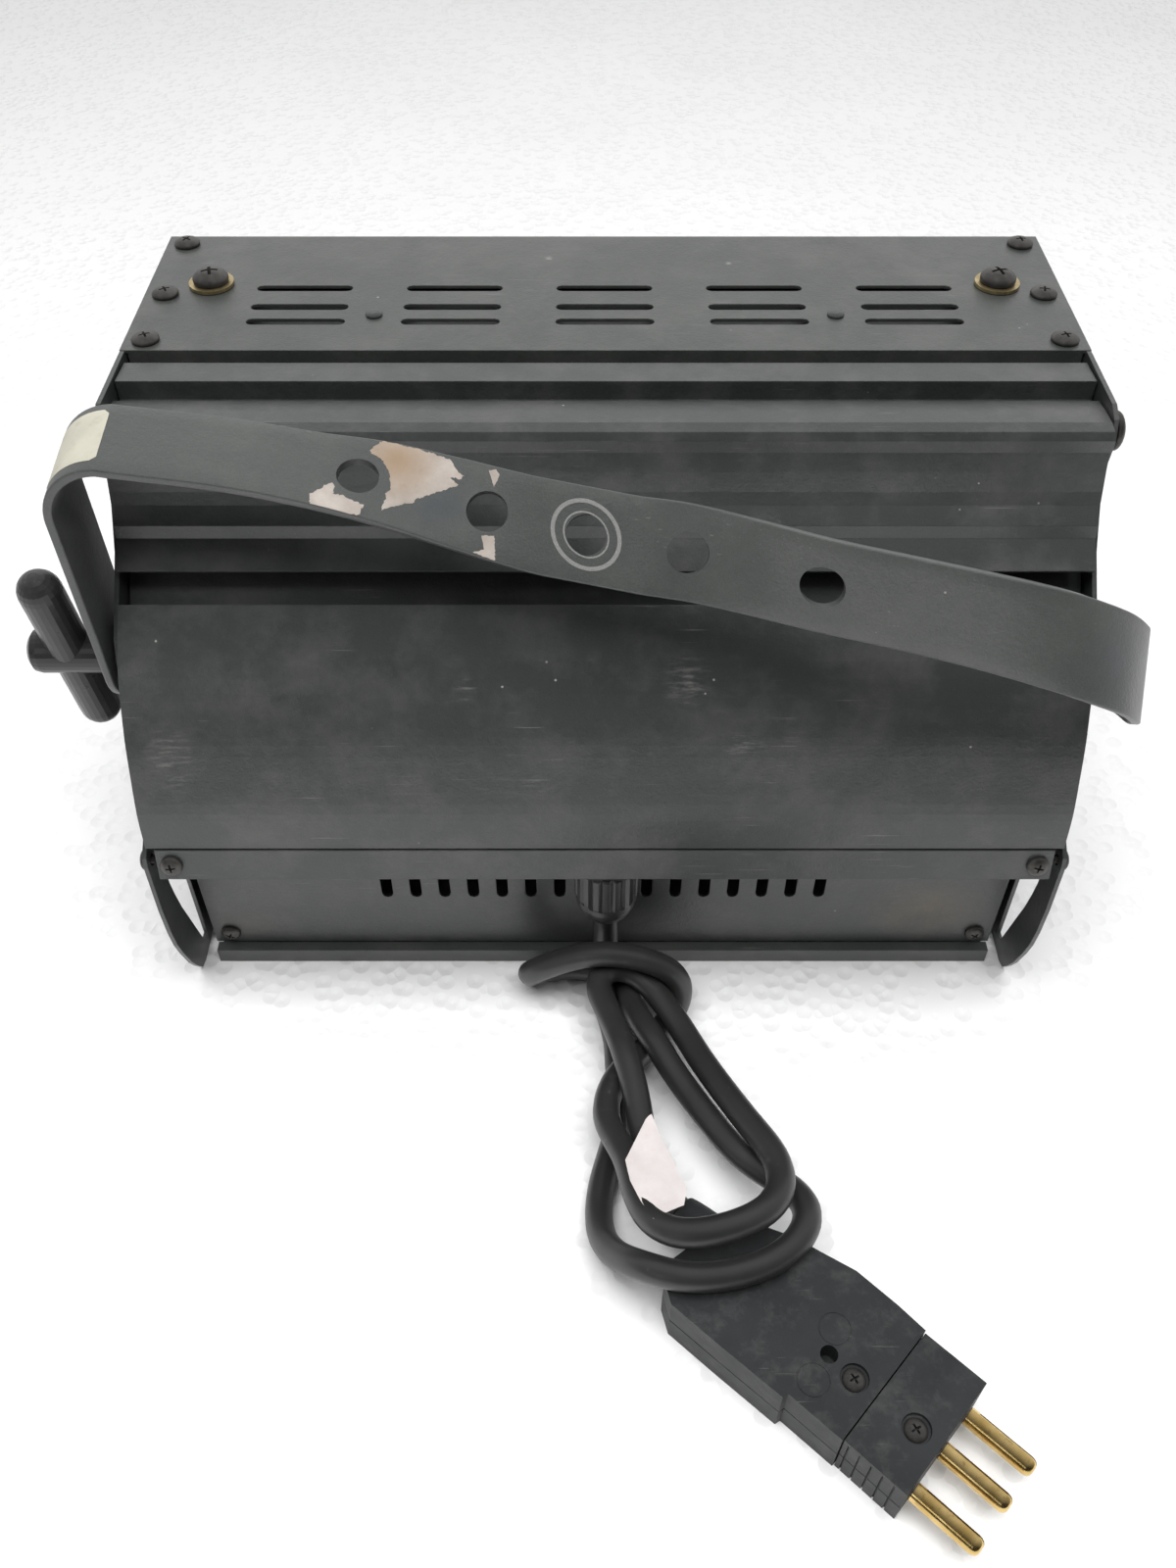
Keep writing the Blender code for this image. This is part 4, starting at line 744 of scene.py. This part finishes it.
TAG_ROWS = [((659, 1141, 30.0), (665, 1136, 30.0)), ((650, 1159, 31.5), (673, 1156, 31.0)), ((638, 1183, 33.4), (684, 1177, 33.0)), ((643, 1204, 36.2), (694, 1199, 35.2)),
            ((654, 1225, 39.2), (701, 1212, 37.0)), ((667, 1243, 42.6), (698, 1229, 39.4))]
bm = bmesh.new()
sheets = []
for lift in (0.0, -0.25):
    sheets.append([])
    for l, r in TAG_ROWS:
        a, b = Vector(from_px(*l)), Vector(from_px(*r))
        cells = []
        for k in range(6):
            q = a.lerp(b, k / 5)
            q.z += lift + 0.5 * math.sin(math.pi * k / 5)
            cells.append(bm.verts.new(P(*q)))
        sheets[-1].append(cells)
for sheet in sheets:
    for a, b in zip(sheet, sheet[1:]):
        for k in range(5):
            bm.faces.new((a[k], a[k + 1], b[k + 1], b[k]))
top, low = sheets
rim_t = top[0] + [row[-1] for row in top[1:]] + top[-1][-2::-1] + [row[0] for row in top[-2:0:-1]]
rim_l = low[0] + [row[-1] for row in low[1:]] + low[-1][-2::-1] + [row[0] for row in low[-2:0:-1]]
for k in range(len(rim_t)):
    j = (k + 1) % len(rim_t)
    bm.faces.new((rim_t[k], rim_t[j], rim_l[j], rim_l[k]))
tag = add("blank_tag", bm, TAG, 60)
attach(tag, "housing")

# ---------------------------------------------------------------- yoke
PIVOT_S, PIVOT_H = 30.0, 148.0
ARM_OUT, BAR_W, BAR_T = 172.5, 30.5, 3.0
CROSSBAR = [(-150, 29.2, 234.6, 8), (-115, 28.6, 229.9, 9), (-90, 27.3, 225.3, 12), (-70, 25.7, 221.3, 21), (-50, 23.1, 216.3, 31),
            (-34, 20.7, 212.3, 40), (-20, 18.2, 209.6, 46), (8, 13.1, 206.8, 46), (26, 9.2, 205.9, 59), (45, 2.4, 205.1, 68), (65, -7.9, 206.2, 75), (88, -16.9, 206.7, 77), (111, -26.2, 207.2, 75), (130, -32.0, 205.7, 67)]
SWEEP = [(88, -16.9, 206.7, 77), (111, -26.2, 207.2, 75), (130, -32.0, 205.7, 67), (143, -32.3, 201.4, 59), (156, -27.9, 193.0, 55), (166, -19.8, 181.4, 58), (170.9, -8.7, 170.5, 60), (171.7, 2.3, 164.1, 60)]
BEND_L = 20.0
X_L = -173.8


def crossbar(x):
    """Middle of the outer face and slope at x, with the middle facet kept flat."""
    for a, b in zip(CROSSBAR, CROSSBAR[1:]):
        if x <= b[0]:
            break
    k = CROSSBAR.index(a)
    if a[0] == -20:
        t = (x + 20) / 28.0
        return tuple(a[i] + (b[i] - a[i]) * t for i in range(1, 4))
    prev = CROSSBAR[max(k - 1, 0)]
    nxt = CROSSBAR[min(k + 2, len(CROSSBAR) - 1)]
    t = (x - a[0]) / (b[0] - a[0])
    out = []
    for i in range(1, 4):
        ma = (b[i] - prev[i]) / (b[0] - prev[0]) if prev is not a else (b[i] - a[i]) / (b[0] - a[0])
        mb = (nxt[i] - a[i]) / (nxt[0] - a[0]) if nxt is not b else (b[i] - a[i]) / (b[0] - a[0])
        if b[0] == -20:
            mb = (CROSSBAR[k + 2][i] - b[i]) / (CROSSBAR[k + 2][0] - b[0])
        if a[0] == 8:
            ma = (a[i] - CROSSBAR[k - 1][i]) / (a[0] - CROSSBAR[k - 1][0])
        if i == 3 and b[0] == -20:
            mb = 0.0
        if i == 3 and a[0] == 8:
            ma = 0.0
        d = b[0] - a[0]
        out.append((2 * t**3 - 3 * t**2 + 1) * a[i] + (t**3 - 2 * t**2 + t) * d * ma + (-2 * t**3 + 3 * t**2) * b[i] + (t**3 - t**2) * d * mb)
    return tuple(out)


def yoke_arm(x_end, bend, x_pivot, sign):
    xe = x_end - sign * bend
    s, h, slope = crossbar(xe)
    v = Vector((s - PIVOT_S, h - PIVOT_H))
    reach = v.length
    n = v / reach
    square = math.degrees(math.atan2(-n.x, n.y))
    rows = []
    half = BAR_W / 2
    for k in range(13):
        a = math.radians(88 - 88 * k / 12)
        rows.append((x_pivot, -half * math.sin(a), square, half * math.cos(a)))
    for k in range(1, 19):
        t = k / 18
        rows.append((x_pivot + (x_end - x_pivot) * t, (reach - bend) * t, square + (slope - square) * t**2, half))
    out = []
    for x, r, f, w in rows:
        out.append((Vector((x, PIVOT_S + n.x * r, PIVOT_H + n.y * r)), math.radians(f), w))
    for k in range(1, 18):
        a = math.pi / 2 * k / 18
        r = reach - bend + bend * math.sin(a)
        x = x_end - sign * (bend - bend * math.cos(a))
        out.append((Vector((x, PIVOT_S + n.x * r, PIVOT_H + n.y * r)), math.radians(slope), half))
    return out, xe


def sweep_arm(per, along):
    """Stations from the right pivot's round end up the arm and round the wide bend."""
    foot = Vector((ARM_OUT, PIVOT_S, PIVOT_H))
    top = Vector(SWEEP[-2][:3])
    v = Vector((top.y - PIVOT_S, top.z - PIVOT_H))
    n = v.normalized()
    square = math.degrees(math.atan2(-n.x, n.y))
    half = BAR_W / 2
    rows = []
    for k in range(along):
        a = math.radians(88 - 88 * k / along)
        rows.append((Vector((ARM_OUT, PIVOT_S - n.x * half * math.sin(a), PIVOT_H - n.y * half * math.sin(a))), math.radians(square), half * math.cos(a)))
    for k in range(along + 1):
        at = foot.lerp(top, k / along * 0.94)
        at.x = ARM_OUT + (top.x - ARM_OUT) * max(0.0, (k / along - 0.4) / 0.6) ** 2 * 0.9
        rows.append((at, math.radians(square), half))
    bend = []
    for k in range(1, len(SWEEP) - 2):
        p, q, r, z = SWEEP[k - 1], SWEEP[k], SWEEP[k + 1], SWEEP[k + 2]
        for j in range(per):
            t = j / per
            bend.append([0.5 * (2 * q[i] + (r[i] - p[i]) * t + (2 * p[i] - 5 * q[i] + 4 * r[i] - z[i]) * t**2 + (3 * q[i] - p[i] - 3 * r[i] + z[i]) * t**3) for i in range(4)])
    bend.append(list(SWEEP[-2]))
    for x, s, h, slope in reversed(bend[1:]):
        rows.append((Vector((x, s, h)), math.radians(slope), half))
    return rows


left, x0 = yoke_arm(X_L, BEND_L, -ARM_OUT, -1)
right, x1 = sweep_arm(10, 14), 111.0
middle = []
for x in np.linspace(x0, x1, 116):
    s, h, slope = crossbar(float(x))
    middle.append((Vector((float(x), s, h)), math.radians(slope), BAR_W / 2))
# join the left arm and its bend, the crossbar, and the right arm and its bend into one run of stations
stations = left + middle + list(reversed(right))
bm = bmesh.new()
rows = []
frames = []
R = 0.7
for i, (p, f, half) in enumerate(stations):
    a = stations[max(i - 1, 0)][0]
    b = stations[min(i + 1, len(stations) - 1)][0]
    t = (b - a).normalized()
    w = Vector((0.0, math.cos(f), math.sin(f)))
    n = t.cross(w).normalized()
    frames.append((p, w, n))
    r = min(R, half * 0.3)
    section = []
    for cu, cv, a0 in ((half - r, -r, 90), (half - r, -BAR_T + r, 0), (-half + r, -BAR_T + r, -90), (-half + r, -r, -180)):
        for k in range(4):
            g_ = math.radians(a0 - 30 * k)
            section.append((cu + r * math.cos(g_), cv + r * math.sin(g_)))
    for k in range(1, 6):
        u = -half + r + (2 * half - 2 * r) * k / 6
        section.append((u, 0.0))
    rows.append([bm.verts.new(P(*(p + w * u + n * v))) for u, v in section])
m = len(rows[0])
for a, b in zip(rows, rows[1:]):
    for i in range(m):
        j = (i + 1) % m
        bm.faces.new((a[i], a[j], b[j], b[i]))
bm.faces.new(rows[0])
bm.faces.new(rows[-1])
yoke = add("yoke_strap", bm, YOKE, 38)
tools = []
for x in (-77.3, -37.5, -6.6, 25.0, 64.7):
    s, h, slope = crossbar(x)
    f = math.radians(slope)
    tools.append(lathe([(6.5 * MM, -9 * MM), (6.5 * MM, 6 * MM)], P(x, s, h), (0.0, -math.sin(f), math.cos(f)), 56, name="tool"))
for sx in (-1, 1):
    tools.append(lathe([(4.5 * MM, 160 * MM), (4.5 * MM, 180 * MM)], P(0, PIVOT_S, PIVOT_H), (sx, 0, 0), 32, name="tool"))
carve(yoke, tools, smooth=42)
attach(yoke, "yoke")
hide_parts("yoke")


def on_strap(x, w, lift=0.0):
    """A point of the crossbar's outer face, w across it, lifted off it."""
    s, h, slope = crossbar(x)
    s2, h2, _ = crossbar(x + 0.5)
    s1, h1, _ = crossbar(x - 0.5)
    t = Vector((1.0, s2 - s1, h2 - h1)).normalized()
    f = math.radians(slope)
    wv = Vector((0.0, math.cos(f), math.sin(f)))
    n = t.cross(wv).normalized()
    return Vector((x, s, h)) + wv * w + n * lift


def strap_from_px(u, v):
    """Place along and across the crossbar seen at this place in the frame."""
    x, w = (u - 600.0) / 3.2, 0.0
    for _ in range(30):
        q = on_strap(x, w)
        pu, pv = in_frame(*q)
        qx, qw = on_strap(x + 0.5, w), on_strap(x, w + 0.5)
        ax, ay = in_frame(*qx)
        bx, by = in_frame(*qw)
        j = np.array([[(ax - pu) * 2, (bx - pu) * 2], [(ay - pv) * 2, (by - pv) * 2]])
        d = np.linalg.solve(j, np.array([u - pu, v - pv]))
        x, w = x + float(np.clip(d[0], -15, 15)), w + float(np.clip(d[1], -8, 8))
        w = max(-24.0, min(24.0, w))
        x = max(-150.0, min(128.0, x))
    return x, w


def chip(name, outline, mat=None, lift=0.045, rag=0.35, limit=BAR_W / 2 - 0.25):
    """A thin patch on the crossbar with a ragged edge."""
    uv = [strap_from_px(*p) for p in outline]
    ragged = []
    r = random.Random(len(outline) * 31 + len(name))
    n = len(uv)
    for k in range(n):
        a, b = Vector(uv[k]), Vector(uv[(k + 1) % n])
        steps = max(1, int((b - a).length / 0.55))
        for i in range(steps):
            q = a.lerp(b, i / steps)
            q += Vector((r.uniform(-rag, rag), r.uniform(-rag, rag))) * (0.4 if i == 0 else 1.0)
            q.y = max(-limit, min(limit, q.y))
            ragged.append(q)
    bm = bmesh.new()
    flat = [bm.verts.new((q.x, q.y, 0)) for q in ragged]
    f = bm.faces.new(flat)
    bmesh.ops.triangulate(bm, faces=[f], ngon_method="EAR_CLIP")
    long_edges = [e for e in bm.edges if e.calc_length() > 2.5]
    for _ in range(4):
        long_edges = [e for e in bm.edges if e.calc_length() > 2.5]
        if not long_edges:
            break
        bmesh.ops.subdivide_edges(bm, edges=long_edges, cuts=1)
        bmesh.ops.triangulate(bm, faces=bm.faces[:])
    geom = bmesh.ops.extrude_face_region(bm, geom=bm.faces[:])
    top = {v for v in geom["geom"] if isinstance(v, bmesh.types.BMVert)}
    for v in bm.verts:
        v.co = P(*on_strap(v.co.x, v.co.y, lift if v in top else -0.25))
    ob = add(name, bm, mat or BARE, 30)
    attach(ob, "yoke")
    return ob


def crop(points, ox=300.0, oy=430.0, k=4.9):
    return [(ox + u / k, oy + v / k) for u, v in points]


chip("bare_patch_large", crop([(378, 140), (405, 118), (430, 95), (480, 100), (540, 115), (590, 126), (640, 140), (685, 152), (720, 165), (775, 182), (800, 215), (820, 250), (855, 268), (830, 283), (780, 276),
                               (800, 292), (820, 312), (770, 330), (700, 355), (650, 370), (610, 380), (600, 398), (575, 405), (545, 408), (520, 415), (480, 425), (435, 440), (450, 405), (458, 375), (460, 350),
                               (485, 335), (478, 290), (475, 250), (460, 215), (430, 180), (395, 160)]))
chip("bare_patch_low", crop([(75, 355), (125, 335), (160, 312), (190, 300), (205, 320), (195, 355), (250, 365), (275, 385), (300, 395), (350, 410), (335, 440), (320, 460), (270, 465), (210, 452), (150, 430), (80, 405)]))
chip("bare_patch_sliver", crop([(975, 240), (1010, 234), (1028, 262), (1012, 298), (1000, 325), (990, 290)]), rag=0.15)
chip("bare_patch_edge", crop([(895, 650), (950, 635), (945, 600), (938, 566), (1000, 566), (1003, 612), (1005, 690), (985, 686), (960, 675)]), rag=0.2)

# the ring that a washer pressed round the middle hole
for name, x, r0, r1, lift in (("washer_ring", -6.6, 9.7, 11.2, 0.16), ("hole_lip", -6.6, 6.62, 7.35, 0.10)):
    bm = bmesh.new()
    steps = 96
    rings = []
    for rr, dz in ((r0, -0.2), (r0 + 0.12, lift * 0.8), ((r0 + r1) / 2, lift), (r1 - 0.12, lift * 0.8), (r1, -0.2)):
        rings.append([bm.verts.new(P(*on_strap(x + rr * math.cos(a), rr * math.sin(a), dz))) for a in (2 * math.pi * k / steps for k in range(steps))])
    for a, b in zip(rings, rings[1:] + [rings[0]]):
        for i in range(steps):
            j = (i + 1) % steps
            bm.faces.new((a[i], a[j], b[j], b[i]))
    ring = add(name, bm, coat("charcoal_coat_" + name, base=(0.15, 0.152, 0.146), dust=0.35, rounded=0.0), 50)
    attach(ring, "yoke")

# blank sticker round the left bend
STICKER_FROM, STICKER_TO = 35, 48
bm = bmesh.new()
outer, inner = [], []
picks = [fr for i, fr in enumerate(frames) if STICKER_FROM <= i <= STICKER_TO]
cols = []
for k, (p, w, n) in enumerate(picks):
    row = []
    shrink = 1.0 if 0 < k < len(picks) - 1 else 0.86
    for u in np.linspace(-11.0 * shrink, 12.0 * shrink, 9):
        row.append((P(*(p + w * float(u) + n * 0.14)), P(*(p + w * float(u) - n * 0.3))))
    cols.append([(bm.verts.new(a), bm.verts.new(b)) for a, b in row])
for a, b in zip(cols, cols[1:]):
    for i in range(8):
        bm.faces.new((a[i][0], a[i + 1][0], b[i + 1][0], b[i][0]))
        bm.faces.new((a[i][1], b[i][1], b[i + 1][1], a[i + 1][1]))
for strip in (cols[0], cols[-1]):
    for i in range(8):
        bm.faces.new((strip[i][0], strip[i][1], strip[i + 1][1], strip[i + 1][0]))
for i in (0, 8):
    for a, b in zip(cols, cols[1:]):
        bm.faces.new((a[i][0], b[i][0], b[i][1], a[i][1]))
sticker = add("blank_sticker", bm, STICKER, 40)
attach(sticker, "yoke")


# ---------------------------------------------------------------- woven guard
def wire(name, points, r, mat, sides=6):
    c = bpy.data.curves.new(name, "CURVE")
    c.dimensions = "3D"
    c.bevel_depth = r * MM
    c.bevel_resolution = 1
    c.use_fill_caps = True
    for line_ in points:
        sp = c.splines.new("POLY")
        sp.points.add(len(line_) - 1)
        for q, at in zip(sp.points, line_):
            q.co = (*P(*at), 1.0)
    c.materials.append(mat)
    ob = bpy.data.objects.new(name, c)
    scene.collection.objects.link(ob)
    return ob


WIRE = steel("guard_wire", (0.10, 0.10, 0.10), 0.40, 0.6, rust=0.15)
NX, NH = 14, 8
lines = []
xs = [-146 + 292 * i / NX for i in range(NX + 1)]
hs = [23 + 176 * k / NH for k in range(NH + 1)]
for i in range(1, NX):
    pts = []
    for k in range(NH * 4 + 1):
        h = 23 + 176 * k / (NH * 4)
        pts.append((xs[i], 182.75 + 0.42 * math.cos(math.pi * k / 4) * (1 if i % 2 else -1), h))
    lines.append(pts)
for k in range(1, NH):
    pts = []
    for i in range(NX * 4 + 1):
        x = -146 + 292 * i / (NX * 4)
        pts.append((x, 182.75 - 0.42 * math.cos(math.pi * i / 4) * (1 if k % 2 else -1), hs[k]))
    lines.append(pts)
border = [[(-146, 182.7, 23), (146, 182.7, 23), (146, 182.7, 199), (-146, 182.7, 199), (-146, 182.7, 23)]]
mesh_wire = wire("guard_wires", lines + border, 0.62, WIRE)
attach(mesh_wire, "guard")
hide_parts("guard_mesh")

# ---------------------------------------------------------------- floor and light
bm = bmesh.new()
for x, y in ((-4, -4), (4, -4), (4, 4), (-4, 4)):
    bm.verts.new((x, y, 0.0))
bm.faces.new(bm.verts[:])
g = Graph("pale_foam", Roughness=0.85)
g.colour(g.mix(g.ramp(g.noise(6, 4, 0.5), (0.3, 0.0), (0.7, 1.0)), (0.82, 0.82, 0.82), (0.79, 0.79, 0.79)))
g.bump((g.ramp(g.voronoi(150, feature="F1"), (0.10, 0.0), (0.55, 1.0)), 0.6, 1.8), (g.noise(40, 3, 0.5), 0.2, 1.0))
floor = add("floor", bm, g.mat)


def area(name, at, look, size, power, mirrored=True):
    d = bpy.data.lights.new(name, "AREA")
    d.shape = "RECTANGLE"
    d.size, d.size_y = size
    d.energy = power
    ob = bpy.data.objects.new(name, d)
    ob.location = at
    ob.visible_glossy = mirrored
    ob.rotation_euler = (Vector(look) - Vector(at)).to_track_quat("-Z", "Y").to_euler()
    scene.collection.objects.link(ob)


area("overhead", (0.0, -0.45, 1.7), (0.0, -0.2, 0.0), (1.6, 1.0), 44.0, mirrored=False)
area("behind", (0.0, 1.7, 1.0), (0.0, 0.0, 0.15), (2.4, 1.0), 3.0)
area("camera_side", (-0.7, -1.2, 0.8), (0.1, -0.15, 0.0), (0.5, 0.3), 0.8)
w = bpy.data.worlds.new("studio")
w.use_nodes = True
nt = w.node_tree
coord = nt.nodes.new("ShaderNodeTexCoord")
split = nt.nodes.new("ShaderNodeSeparateXYZ")
nt.links.new(coord.outputs["Generated"], split.inputs[0])
shade = nt.nodes.new("ShaderNodeMapRange")
shade.inputs["From Min"].default_value, shade.inputs["From Max"].default_value = -0.7, 0.6
shade.inputs["To Min"].default_value, shade.inputs["To Max"].default_value = 0.04, 0.75
nt.links.new(split.outputs["Y"], shade.inputs["Value"])
nt.links.new(shade.outputs["Result"], nt.nodes["Background"].inputs["Strength"])
nt.nodes["Background"].inputs["Color"].default_value = (1.0, 1.0, 1.0, 1.0)
scene.world = w
scene.view_settings.view_transform = "Standard"
